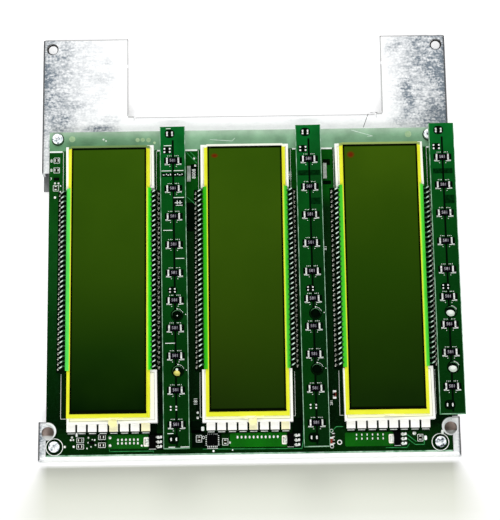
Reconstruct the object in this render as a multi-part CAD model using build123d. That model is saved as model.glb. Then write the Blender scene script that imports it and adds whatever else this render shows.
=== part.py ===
from build123d import *
import os

# Three long LCD modules on one board, screwed to a folded aluminium chassis, lying face up.
# Millimetres. +Z points out of the displays, +Y towards the two ears and +X to the right.
# The origin is the centre of the four corner holes, on the rear face of the chassis sheet.

# Chassis, folded from one sheet, with its free edges round the board
sheet = 1.5
chassis_depth = 9.0
chassis_side = 4.7
apron = 9.5
bottom_lip = 2.0
bend_inside = 1.0
corner_hole = 6.2
hole_from_side = 5.0
hole_from_top = 5.0
hole_from_bottom = 14.0
left_ear = 44.5
right_ear = 34.0
ear_height = 42.0
ear_side = 71.7
notch_depth = 5.5
tab_height = 19.6
inner_corner = 1.2
relief_width = 0.8
relief_inset = 3.8

# Screws and the standoffs pressed into the sheet
screw_from_left = 4.3
screw_from_right = 6.3
screw_from_top = 3.9
screw_from_bottom = 4.6
standoff_height = 3.0
standoff_width = 6.0
standoff_shank = 4.6
standoff_floor = 0.6
screw_diameter = 3.0
screw_length = 5.0
screw_head = 5.4
screw_head_height = 1.9
screw_crown = 4.0
head_clearance = 0.3
recess_span = 3.1
recess_slot = 0.75
recess_depth = 1.0
recess_foot = 0.6
screw_turns = (20, 65, 40, 0)
thread_clearance = 0.2
screw_clearance = 0.4

# Main board, as wide as the modules need and longer than their glass
board = 1.6
board_side = 31.72
board_over_glass = 9.5
board_under_glass = 18.0
hole_notch = 7.6

# LCD modules, one pitch apart
module_count = 3
module_pitch = 68.58
module_shift = -0.5
glass_width = 41.1
glass_length = 138.0
glass_shift = -0.7
glass_sheet = 1.1
glass_ledge = 1.3
film = 0.3
polariser_side = 1.9
polariser_end = 1.95
polariser_shift = 0.05
polariser = 0.2

# Backlight housings, which sit a little askew under the first and the last glass
housing_over_side = 1.7
housing_height = 5.0
housing_over_top = 0.4
housing_over_bottom = 2.6
housing_wall = 1.2
waist_inset = 1.15
waist_clearance = 1.8
housing_shift = (1.0, -0.1, 0.3)
housing_skew = (0.70, 0.0, 0.70)
guide_floor = 0.6
guide_clearance = 0.2
guide_recess = 0.15

# LED holder with its fingers, and the LEDs in front of them
holder_shift = (-0.2, 0.1, 0.4)
finger_count = 8
finger_width = 4.3
finger_reach = 3.75
finger_bevel = 0.5
finger_pocket = 0.9
holder_height = 2.6
holder_spine = 5.0
holder_clearance = 0.2
led_length = 3.4
led_depth = 0.9
led_height = 1.2
led_gap = 0.45

# Edge pins of the glass
side_pin_count = 36
pin_pitch = 2.54
pin_row_span = 50.8
pin_width = 0.5
pin_thickness = 0.4
resin_over = 0.8
resin_height = 0.8
seal_width = 5.0
seal_reach = 0.8
seal_shift = (3.0, 1.5, 0.6)

# Strip boards over the main board, each a little askew
strip_width = 12.7
strip_over_glass = (24.0, 24.0, 9.1)
strip_from_module = (33.08, 32.7, 30.92)
strip_skew = (0.55, 0.42, 0.15)
strip_from_top = 1.5
strip_board = 1.6
strip_hole = 5.0
strip_hole_shift = 1.1
strip_hole_numbers = (5, 7)
strip_hole_below = 7.4

# Two-pin headers that carry the strips, with their sockets
header_pitch = 2.54
header_shift = -1.4
header_from_end = (3.7, 4.6)
header_height = 2.5
socket_height = 8.5
socket_bore_depth = 6.0
header_pin = 0.64
header_pin_above = 0.9
header_pin_into_socket = 5.6
header_pin_clearance = 0.06
header_board_clearance = 0.3

# Large chip resistors in a row on each strip
resistor_count = (10, 10, 9)
upper_count = 4
close_count = 8
resistor_first_down = 17.8
resistor_last_up = 11.7
resistor_upper_gap = 0.55
resistor_extra_gap = 3.0
resistor_length = 6.5
resistor_width = 3.1
resistor_height = 0.6
resistor_end = 0.75

# Small parts on the main board. Each place has its module's number, its way across from the
# middle of that module, and its way up from the board's lower edge or down from its upper edge.
regulator_places = ((1, 21.38, 6.5), (2, 20.8, 6.5), (3, 4.72, 6.4))
regulator_length = 6.5
regulator_width = 3.5
regulator_height = 1.6
regulator_stand = 0.1
regulator_taper = 8.0
regulator_leg_pitch = 2.3
regulator_leg_width = 0.7
regulator_tab_width = 3.0
leg_thickness = 0.25
leg_reach = 1.75
leg_foot = 0.9
controller_place = (2, -17.7, 6.9)
controller_width = 5.2
controller_height = 0.9
chip_length = 2.0
chip_width = 1.25
chip_height = 0.6
chip_end = 0.4
low_chips_across = ((1, -14.22, 7.8), (1, -14.22, 4.7), (1, -3.52, 9.2), (1, -3.52, 5.3))
low_chips_along = (
    (2, -24.3, 7.8),
    (2, -11.4, 6.1),
    (3, -26.68, 8.6),
    (3, -26.68, 5.4),
    (3, -25.78, 28.7),
    (3, 16.12, 6.8),
)
high_chips_across = ((1, -27.42, 14.9), (1, -27.42, 20.1))
high_chips_along = ((1, -27.72, 29.5),)
low_transistors = ((1, -8.62, 6.4),)
high_transistors = ((1, -27.42, 24.8),)
transistor_length = 2.9
transistor_width = 1.3
transistor_height = 1.0
long_chip_places = ((2, -28.5, 23.0), (3, -27.78, 22.4))
long_chip_length = 8.0
long_chip_width = 1.8
long_chip_height = 1.0

# Box headers on the rear of the main board, reached through windows in the sheet
connector_places = ((1, 9.28, 6.9), (3, -8.78, 7.4))
connector_pitches = (2.0, 2.54)
connector_columns = 6
connector_row_gap = 2.0
connector_end_wall = 1.6
connector_width = 5.6
connector_height = 7.0
connector_wall = 0.9
connector_floor = 1.5
connector_pin = 0.5
connector_pin_length = 5.5
window_clearance = 1.2

# Levels and edges that follow from these sizes
board_width = (module_count - 1) * module_pitch + 2 * board_side
board_length = board_over_glass + glass_length + board_under_glass
chassis_width = board_width + 2 * chassis_side
chassis_length = ear_height + apron + board_length + bottom_lip
hole_span_x = chassis_width - 2 * hole_from_side
hole_span_y = chassis_length - hole_from_top - hole_from_bottom
bend_outside = bend_inside + sheet
foot_z = sheet - chassis_depth
half_width = chassis_width / 2
chassis_top = hole_span_y / 2 + hole_from_top
chassis_bottom = -hole_span_y / 2 - hole_from_bottom
cutout_y = chassis_top - ear_height
cutout_left = -half_width + left_ear
cutout_right = half_width - right_ear
step_y = chassis_top - ear_side
tab_y = chassis_bottom + tab_height
board_top = cutout_y - apron
board_bottom = board_top - board_length
pins_y = board_top - board_over_glass - glass_length / 2 - glass_shift
housing_end = board_bottom + board_under_glass - housing_over_bottom
finger_pitch = (glass_width - finger_width) / (finger_count - 1)
strip_lengths = [glass_length + over for over in strip_over_glass]
resistor_run = strip_lengths[0] - resistor_first_down - resistor_last_up
upper_run = upper_count * resistor_upper_gap
wide_run = (resistor_count[0] - close_count) * resistor_extra_gap
resistor_pitch = (resistor_run - upper_run - wide_run) / (resistor_count[0] - 1)
board_z = sheet + standoff_height
face_z = board_z + board
film_z = face_z + housing_height
rear_glass_z = film_z + film
front_glass_z = rear_glass_z + glass_sheet
polariser_z = front_glass_z + glass_sheet
strip_z = face_z + socket_height + header_height
strip_face_z = strip_z + strip_board
past = 1.0


def block(width, length, height, x=0.0, y=0.0, z=0.0):
    # a plain block standing on z, centred on x and y
    return Pos(x, y, z) * Box(width, length, height, align=(Align.CENTER, Align.CENTER, Align.MIN))


def span(x_low, x_high, y_low, y_high, z_low, z_high):
    # a plain block between two corners
    centre = Pos((x_low + x_high) / 2, (y_low + y_high) / 2, z_low)
    size = (x_high - x_low, y_high - y_low, z_high - z_low)
    return centre * Box(*size, align=(Align.CENTER, Align.CENTER, Align.MIN))


def peg(diameter, height, x=0.0, y=0.0, z=0.0):
    return Pos(x, y, z) * Cylinder(diameter / 2, height, align=(Align.CENTER, Align.CENTER, Align.MIN))


def prism(points, start, depth):
    # a profile drawn in X and Z, extruded along +Y from start
    face = make_face(Polyline(*[(x, start, z) for x, z in points], close=True))
    return extrude(face, amount=depth, dir=(0, 1, 0))


def centred_row(count, pitch):
    return [(k - (count - 1) / 2) * pitch for k in range(count)]


def save(name, shapes):
    solids = [solid for shape in shapes for solid in shape.solids()]
    whole = solids[0] if len(solids) == 1 else Compound(children=solids)
    export_step(whole, f"parts/{name}.step")


def hole_places():
    return [(x, y) for x in (-hole_span_x / 2, hole_span_x / 2) for y in (-hole_span_y / 2, hole_span_y / 2)]


def screw_places():
    columns = (screw_from_left - board_width / 2, board_width / 2 - screw_from_right)
    rows = (board_bottom + screw_from_bottom, board_top - screw_from_top)
    return [(x, y) for x in columns for y in rows]


def module_x(index):
    return module_shift + (index - (module_count - 1) / 2) * module_pitch


def low_place(place):
    # a place given from the board's lower edge
    number, across, up = place
    return (module_x(number - 1) + across, board_bottom + up)


def high_place(place):
    # a place given from the board's upper edge
    number, across, down = place
    return (module_x(number - 1) + across, board_top - down)


# Chassis
def chassis_blank():
    # the full outline with its ears, side notches and lower tabs, as deep as the folded flanges
    inner = half_width - notch_depth
    right = [
        (cutout_right, cutout_y),
        (cutout_right, chassis_top),
        (half_width, chassis_top),
        (half_width, step_y),
        (inner, step_y),
        (inner, tab_y),
        (half_width, tab_y),
        (half_width, chassis_bottom),
    ]
    left = [
        (-half_width, chassis_bottom),
        (-half_width, tab_y),
        (-inner, tab_y),
        (-inner, step_y),
        (-half_width, step_y),
        (-half_width, chassis_top),
        (cutout_left, chassis_top),
        (cutout_left, cutout_y),
    ]
    face = make_face(Polyline(*right, *left, close=True))
    return Pos(0, 0, foot_z) * extrude(face, amount=chassis_depth)


def on_bend_line(edge, low_x, high_x):
    # top edges that fold down: both outer sides, the bottom and the middle of the cut-out
    middle = edge.center()
    if abs(middle.Z - sheet) > 0.01:
        return False
    side = abs(abs(middle.X) - half_width) < 0.01
    bottom = abs(middle.Y - chassis_bottom) < 0.01
    in_cutout = abs(middle.Y - cutout_y) < 0.01 and low_x < middle.X < high_x
    return side or bottom or (in_cutout and edge.length > relief_width + relief_inset)


def chassis_hollow(flange_left, flange_right):
    # the space between the flanges, open at the ear tops and at the steps
    side = half_width - sheet
    wall_y = cutout_y - sheet
    low = foot_z - past
    middle = span(-side, side, chassis_bottom + sheet, wall_y, low, 0)
    middle = fillet([edge for edge in middle.edges() if abs(edge.center().Z) < 0.01], bend_inside)
    ears = []
    for inner_x, outer_x in ((flange_left, -side), (flange_right, side)):
        left, right = sorted((inner_x, outer_x))
        ear = span(left, right, wall_y - bend_outside, chassis_top + past, low, 0)
        outer = ear.edges().filter_by(Axis.Y).sort_by(Axis.Z)[-2:].sort_by_distance((outer_x, 0, 0))[:1]
        ears.append(fillet(outer, bend_inside))
    return [middle, *ears]


def chassis():
    flange_left = cutout_left + relief_inset
    flange_right = cutout_right - relief_inset
    body = chassis_blank()
    upright = body.edges().filter_by(Axis.Z)
    cutout_corners = [upright.sort_by_distance((x, cutout_y, 0))[0] for x in (cutout_left, cutout_right)]
    body = fillet(cutout_corners, inner_corner)
    for x in (flange_left - relief_width / 2, flange_right + relief_width / 2):
        low_y = cutout_y - bend_outside
        body -= span(x - relief_width / 2, x + relief_width / 2, low_y, cutout_y + past, foot_z, sheet)
    bends = [edge for edge in body.edges() if on_bend_line(edge, flange_left, flange_right)]
    body = fillet(bends, bend_outside)
    for part in chassis_hollow(flange_left, flange_right):
        body -= part
    for x, y in hole_places():
        body -= peg(corner_hole, sheet + 2 * past, x, y, -past)
    for x, y in screw_places():
        body -= peg(standoff_shank, sheet + 2 * past, x, y, -past)
    for place, pitch in zip(connector_places, connector_pitches):
        body -= block(
            connector_length(pitch) + 2 * window_clearance,
            connector_width + 2 * window_clearance,
            sheet + 2 * past,
            *low_place(place),
            -past,
        )
    return body


def standoff(x, y):
    # a pressed-in standoff: a hexagon on the sheet, a round shank through it and a blind bore
    outline = RegularPolygon(standoff_width / 2, 6, major_radius=False)
    body = Pos(0, 0, sheet) * extrude(outline, amount=standoff_height) + peg(standoff_shank, board_z / 2)
    body -= peg(screw_diameter + thread_clearance, board_z, 0, 0, standoff_floor)
    return Pos(x, y, 0) * body


def screw(x, y, turn):
    # a pan-head machine screw with a tapered cross recess
    top = face_z + screw_head_height
    middle = face_z + screw_head_height / 2
    head = Pos(0, 0, middle) * Cone(screw_head / 2, screw_crown / 2, screw_head_height)
    body = head + peg(screw_diameter, middle - face_z + screw_length, 0, 0, face_z - screw_length)
    foot = Plane((0, 0, top - recess_depth)) * Rectangle(recess_span * recess_foot, recess_slot * recess_foot)
    mouth = Plane((0, 0, top)) * Rectangle(recess_span, recess_slot)
    slot = loft([foot.face(), mouth.face()])
    body -= slot
    body -= Rot(0, 0, 90) * slot
    return Pos(x, y, 0) * Rot(0, 0, turn) * body


# Main board
def main_board():
    body = span(-board_width / 2, board_width / 2, board_bottom, board_top, board_z, face_z)
    for x, y in hole_places():
        if y < board_top:
            body -= peg(hole_notch, board + 2 * past, x, y, board_z - past)
    for x, y in screw_places():
        body -= peg(screw_diameter + screw_clearance, board + 2 * past, x, y, board_z - past)
    return body


# LCD modules
def waisted(inset, bottom_z, height):
    # the housing's outline, drawn in by inset, narrow where the glass has its pins
    top = glass_shift + glass_length / 2 + housing_over_top - inset
    bottom = glass_shift - glass_length / 2 - housing_over_bottom + inset
    wide = glass_width / 2 + housing_over_side - inset
    narrow = glass_width / 2 - waist_inset - inset
    reach = ((side_pin_count - 1) * pin_pitch) / 2 + waist_clearance + inset
    points = [(wide, top), (wide, reach), (narrow, reach), (narrow, -reach), (wide, -reach), (wide, bottom)]
    mirrored = [(-x, y) for x, y in reversed(points)]
    face = make_face(Polyline(*points, *mirrored, close=True))
    solid = extrude(face, amount=height)
    return Pos(0, 0, bottom_z) * solid


def askew(index, solid):
    # a piece of the backlight, shifted and turned as its housing lies
    x = module_x(index) + housing_shift[index]
    return Pos(x, pins_y, 0) * Rot(0, 0, housing_skew[index]) * solid


def holder_box(index, clearance):
    # the space that the LED holder's spine takes under the housing's end
    return span(
        holder_x(index) - glass_width / 2 - clearance,
        holder_x(index) + glass_width / 2 + clearance,
        housing_end - finger_reach - clearance,
        housing_end + holder_spine + clearance,
        face_z - clearance,
        face_z + holder_height + clearance,
    )


def holder_x(index):
    return module_x(index) + holder_shift[index]


def backlight_housing(index):
    outside = waisted(0, face_z, housing_height)
    floor = holder_height + holder_clearance + guide_floor
    hollow = waisted(housing_wall, face_z + floor, housing_height)
    return askew(index, outside - hollow) - holder_box(index, holder_clearance)


def light_guide(index):
    floor = holder_height + holder_clearance + guide_floor
    height = housing_height - floor - guide_recess
    return askew(index, waisted(housing_wall + guide_clearance, face_z + floor, height))


def led_holder(index):
    # a spine with eight fingers, each with its tip bevelled and hollowed below for its LED's light
    tip = housing_end - finger_reach
    x = holder_x(index)
    profile = [
        (housing_end + holder_spine, face_z),
        (housing_end + holder_spine, face_z + holder_height),
        (tip + finger_bevel, face_z + holder_height),
        (tip, face_z + holder_height - finger_bevel),
        (tip, face_z + finger_pocket),
        (tip + finger_pocket, face_z + finger_pocket),
        (tip + finger_pocket, face_z),
    ]
    side = make_face(Polyline(*[(x - glass_width / 2, y, z) for y, z in profile], close=True))
    body = extrude(side, amount=glass_width, dir=(1, 0, 0))
    gap = finger_pitch - finger_width
    top = face_z + holder_height
    for k in centred_row(finger_count - 1, finger_pitch):
        body -= span(x + k - gap / 2, x + k + gap / 2, tip - past, housing_end, face_z - past, top + past)
    return body


def backlight_leds(index):
    y = housing_end - finger_reach - led_gap - led_depth / 2
    row = centred_row(finger_count, finger_pitch)
    return [block(led_length, led_depth, led_height, holder_x(index) + k, y, face_z) for k in row]


def pane(index, width, length, height, z, shift):
    return block(width, length, height, module_x(index), pins_y + shift, z)


def pin_profile(side):
    # from under the resin at the glass's edge, down and outwards to the row of solder joints
    edge = glass_width / 2
    foot = (pin_row_span + pin_thickness) / 2
    points = [
        (edge, front_glass_z),
        (edge + pin_thickness, front_glass_z),
        (foot, face_z),
        (foot - pin_thickness, face_z),
    ]
    return [(side * x, z) for x, z in points]


def edge_pins(index):
    pins = []
    for side in (-1, 1):
        for y in centred_row(side_pin_count, pin_pitch):
            pin = prism(pin_profile(side), pins_y + y - pin_width / 2, pin_width)
            pins.append(Pos(module_x(index), 0, 0) * pin)
    return pins


def pin_resin(index):
    # a low crowned bead on the ledge and over the pins' ends, against the side of the front glass
    length = (side_pin_count - 1) * pin_pitch + 2 * waist_clearance
    low = front_glass_z
    beads = []
    for side in (-1, 1):
        inner = side * (glass_width / 2 - glass_ledge)
        outer = side * (glass_width / 2 + resin_over)
        crown = ThreePointArc(
            (outer, 0, low),
            ((inner + outer) / 2 + side * 0.3, 0, low + resin_height * 0.8),
            (inner, 0, low + resin_height),
        )
        rest = Polyline((inner, 0, low + resin_height), (inner, 0, low), (outer, 0, low))
        bead = extrude(make_face(Curve() + [crown, rest]), amount=length / 2, both=True, dir=(0, 1, 0))
        beads.append(Pos(module_x(index), pins_y, 0) * bead)
    return beads


def fill_seal(index):
    # the half-round blob that closes the glass at its lower edge
    end = board_bottom + board_under_glass
    height = 2 * glass_sheet
    blob = Pos(0, 0, rear_glass_z) * extrude(Ellipse(seal_width / 2, seal_reach), amount=height)
    top = rear_glass_z + height
    keep = span(-seal_width, seal_width, -2 * seal_reach, 0, rear_glass_z - past, top + past)
    return Pos(module_x(index) + seal_shift[index], end, 0) * (blob & keep)


# Strip boards
def on_strip(index):
    # places what is drawn from the middle of a strip's top end, with -Y down the strip
    length = strip_lengths[index]
    middle = Pos(module_x(index) + strip_from_module[index], board_top - strip_from_top - length / 2, 0)
    return middle * Rot(0, 0, strip_skew[index]) * Pos(0, length / 2, 0)


def header_downs(index):
    return (header_from_end[0], strip_lengths[index] - header_from_end[1])


def header_pin_places(index):
    return [(header_shift + x, -down) for down in header_downs(index) for x in centred_row(2, header_pitch)]


def strip(index):
    length = strip_lengths[index]
    body = block(strip_width, length, strip_board, 0, -length / 2, strip_z)
    downs = resistor_downs(index)
    for number in strip_hole_numbers:
        y = -downs[number] - strip_hole_below
        body -= peg(strip_hole, strip_board + 2 * past, strip_hole_shift, y, strip_z - past)
    for x, y in header_pin_places(index):
        way = header_pin + header_board_clearance
        body -= block(way, way, strip_board + 2 * past, x, y, strip_z - past)
    return on_strip(index) * body


def screw_room(height):
    # the space round the screws' heads that a tall part beside one leaves free
    return [
        peg(screw_head + 2 * head_clearance, height + head_clearance, x, y, face_z)
        for x, y in screw_places()
    ]


def header_block(index, height, z, bore_bottom):
    # a two-way body with a square way for each pin
    way = header_pin + 2 * header_pin_clearance
    blocks = []
    for down in header_downs(index):
        body = block(2 * header_pitch, header_pitch, height, header_shift, -down, z)
        for x in centred_row(2, header_pitch):
            body -= block(way, way, z + height + past - bore_bottom, header_shift + x, -down, bore_bottom)
        blocks.append(on_strip(index) * body)
    return blocks


def header_pins(index):
    low = face_z + socket_height - header_pin_into_socket
    height = strip_face_z + header_pin_above - low
    places = header_pin_places(index)
    return [on_strip(index) * block(header_pin, header_pin, height, x, y, low) for x, y in places]


def resistor_downs(index):
    # down the strip, a little wider apart at first and much wider at the last ones
    downs = []
    for k in range(resistor_count[index]):
        extra = min(k, upper_count) * resistor_upper_gap
        extra += max(0, k + 1 - close_count) * resistor_extra_gap
        downs.append(resistor_first_down + k * resistor_pitch + extra)
    return downs


def resistor_bodies(index):
    length = resistor_length - 2 * resistor_end
    bodies = []
    for down in resistor_downs(index):
        body = block(length, resistor_width, resistor_height, 0, -down, strip_face_z)
        bodies.append(on_strip(index) * body)
    return bodies


def resistor_ends(index):
    ends = []
    x = (resistor_length - resistor_end) / 2
    for down in resistor_downs(index):
        for side in (-1, 1):
            cap = block(resistor_end, resistor_width, resistor_height, side * x, -down, strip_face_z)
            ends.append(on_strip(index) * cap)
    return ends


# Small parts on the main board
def tapered_body(width, length, height, stand, taper):
    # a moulded body that leans in above and below its parting line
    middle = Plane((0, 0, face_z + stand + height / 2))
    upper = extrude(middle * Rectangle(width, length), amount=height / 2, taper=taper)
    lower = extrude(middle * Rectangle(width, length), amount=-height / 2, taper=taper)
    return upper + lower


def gull_leg(start, width, y):
    # from the body's side down to the board and out along it to its foot, in X and Z
    half = regulator_height / 2 + regulator_stand
    high = face_z + half + leg_thickness / 2
    low = face_z + half - leg_thickness / 2
    bend = start + leg_reach - leg_foot
    foot = start + leg_reach
    foot_top = face_z + leg_thickness
    points = [
        (start, high),
        (bend, foot_top),
        (foot, foot_top),
        (foot, face_z),
        (bend, face_z),
        (start, low),
    ]
    return prism(points, y - width / 2, width)


def regulator(place):
    body = tapered_body(regulator_width, regulator_length, regulator_height, regulator_stand, regulator_taper)
    return Pos(*low_place(place), 0) * body


def regulator_legs(place):
    start = regulator_width / 2
    legs = [gull_leg(start, regulator_leg_width, y) for y in centred_row(3, regulator_leg_pitch)]
    tab = Rot(0, 0, 180) * gull_leg(start, regulator_tab_width, 0)
    return [Pos(*low_place(place), 0) * leg for leg in [*legs, tab]]


def chip_places():
    # where each small chip lies, across the board or along it
    across = [*map(low_place, low_chips_across), *map(high_place, high_chips_across)]
    along = [*map(low_place, low_chips_along), *map(high_place, high_chips_along)]
    turned = [Pos(*place, face_z) * Rot(0, 0, 90) for place in along]
    return [Pos(*place, face_z) for place in across] + turned


def chip_bodies():
    return [place * block(chip_length - 2 * chip_end, chip_width, chip_height) for place in chip_places()]


def chip_ends():
    x = (chip_length - chip_end) / 2
    cap = block(chip_end, chip_width, chip_height)
    return [place * Pos(side * x, 0, 0) * cap for place in chip_places() for side in (-1, 1)]


def transistors():
    body = tapered_body(transistor_length, transistor_width, transistor_height, 0, regulator_taper)
    places = [*map(low_place, low_transistors), *map(high_place, high_transistors)]
    return [Pos(*place, 0) * body for place in places]


def controller():
    body = tapered_body(controller_width, controller_width, controller_height, 0, regulator_taper)
    return Pos(*low_place(controller_place), 0) * body


def long_chips():
    body = block(long_chip_width, long_chip_length, long_chip_height)
    return [Pos(*high_place(place), face_z) * body for place in long_chip_places]


# Rear connectors
def connector_length(pitch):
    return (connector_columns - 1) * pitch + 2 * connector_end_wall


def rear_connector(place, pitch):
    # a box header hanging under the board, open to the rear
    length = connector_length(pitch)
    low = board_z - connector_height
    body = block(length, connector_width, connector_height, 0, 0, low)
    inside = connector_width - 2 * connector_wall
    hollow = block(length - 2 * connector_wall, inside, connector_height - connector_floor, 0, 0, low)
    return Pos(*low_place(place), 0) * (body - hollow)


def rear_pins(place, pitch):
    low = board_z - connector_pin_length
    pin = block(connector_pin, connector_pin, connector_pin_length - connector_floor)
    columns = centred_row(connector_columns, pitch)
    rows = centred_row(2, connector_row_gap)
    middle = Pos(*low_place(place), low)
    return [middle * Pos(x, y, 0) * pin for x in columns for y in rows]


def build_module(index):
    number = index + 1
    rear_glass = pane(index, glass_width, glass_length, glass_sheet, rear_glass_z, glass_shift)
    front_width = glass_width - 2 * glass_ledge
    front_glass = pane(index, front_width, glass_length, glass_sheet, front_glass_z, glass_shift)
    film_width = glass_width - 2 * polariser_side
    film_length = glass_length - 2 * polariser_end
    top_film = pane(index, film_width, film_length, polariser, polariser_z, polariser_shift)
    save(f"backlight_housing_{number}", [backlight_housing(index)])
    save(f"light_guide_{number}", [light_guide(index)])
    save(f"led_holder_{number}", [led_holder(index)])
    save(f"backlight_leds_{number}", backlight_leds(index))
    save(f"diffuser_film_{number}", [pane(index, glass_width, glass_length, film, film_z, glass_shift)])
    save(f"rear_glass_{number}", [rear_glass])
    save(f"front_glass_{number}", [front_glass])
    save(f"polariser_{number}", [top_film])
    save(f"edge_pins_{number}", edge_pins(index))
    save(f"pin_resin_{number}", pin_resin(index))
    save(f"fill_seal_{number}", [fill_seal(index)])


def build_strips():
    strips = range(len(strip_lengths))
    for index in strips:
        number = index + 1
        save(f"strip_board_{number}", [strip(index)])
        save(f"strip_resistors_{number}", resistor_bodies(index))
        save(f"resistor_ends_{number}", resistor_ends(index))
    join = face_z + socket_height
    sockets = [header_block(index, socket_height, face_z, join - socket_bore_depth) for index in strips]
    headers = [header_block(index, header_height, join, join - past) for index in strips]
    save("strip_sockets", [socket - screw_room(screw_head_height) for socket in sum(sockets, [])])
    save("strip_headers", sum(headers, []))
    save("header_pins", sum([header_pins(index) for index in strips], []))


def build_small_parts():
    save("regulators", [regulator(place) for place in regulator_places])
    save("regulator_legs", sum([regulator_legs(place) for place in regulator_places], []))
    save("controller_chip", [controller()])
    save("chip_parts", chip_bodies())
    save("chip_part_ends", chip_ends())
    save("small_transistors", transistors())
    save("long_chip_parts", long_chips())
    connectors = list(zip(connector_places, connector_pitches))
    save("rear_connectors", [rear_connector(place, pitch) for place, pitch in connectors])
    save("rear_connector_pins", sum([rear_pins(place, pitch) for place, pitch in connectors], []))


def build():
    os.makedirs("parts", exist_ok=True)
    places = screw_places()
    save("chassis", [chassis()])
    save("standoffs", [standoff(x, y) for x, y in places])
    save("board_screws", [screw(x, y, turn) for (x, y), turn in zip(places, screw_turns)])
    save("main_board", [main_board()])
    for index in range(module_count):
        build_module(index)
    build_strips()
    build_small_parts()


build()
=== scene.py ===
import bpy
import math
from mathutils import Matrix, Vector


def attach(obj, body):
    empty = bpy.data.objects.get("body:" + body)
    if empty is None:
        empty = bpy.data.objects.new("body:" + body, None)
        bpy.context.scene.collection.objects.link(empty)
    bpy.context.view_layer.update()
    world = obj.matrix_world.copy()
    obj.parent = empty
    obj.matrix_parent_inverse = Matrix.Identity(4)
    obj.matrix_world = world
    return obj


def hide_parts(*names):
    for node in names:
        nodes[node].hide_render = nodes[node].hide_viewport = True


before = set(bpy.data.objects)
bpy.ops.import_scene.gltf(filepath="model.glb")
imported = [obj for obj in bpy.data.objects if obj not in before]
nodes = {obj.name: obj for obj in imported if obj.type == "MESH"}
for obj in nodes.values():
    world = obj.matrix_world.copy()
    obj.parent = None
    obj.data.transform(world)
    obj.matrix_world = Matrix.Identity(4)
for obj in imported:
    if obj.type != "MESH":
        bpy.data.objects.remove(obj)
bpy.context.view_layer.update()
mm = 0.001
print("frame loaded:", len(nodes), "nodes")


# Levels and places of the CAD, in millimetres
level = {
    "floor": -7.5,
    "sheet": 1.5,
    "board": 6.1,
    "ledge": 12.5,
    "glass": 13.6,
    "strip": 18.7,
    "resistor": 19.3,
}
moduleX = [-69.08, -0.5, 68.08]
pinsY = -24.3
stripRows = [
    {"x": -36.0, "length": 162.0, "turn": 0.55, "count": 10},
    {"x": 32.2, "length": 162.0, "turn": 0.42, "count": 10},
    {"x": 99.0, "length": 147.1, "turn": 0.15, "count": 9},
]
stripTop = 52.0


def colour(r, g, b):
    # a colour as the screen shows it, turned into the shader's own values
    def straight(v):
        v = v / 255
        return v / 12.92 if v <= 0.04045 else ((v + 0.055) / 1.055) ** 2.4
    return (straight(r), straight(g), straight(b), 1.0)


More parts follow.
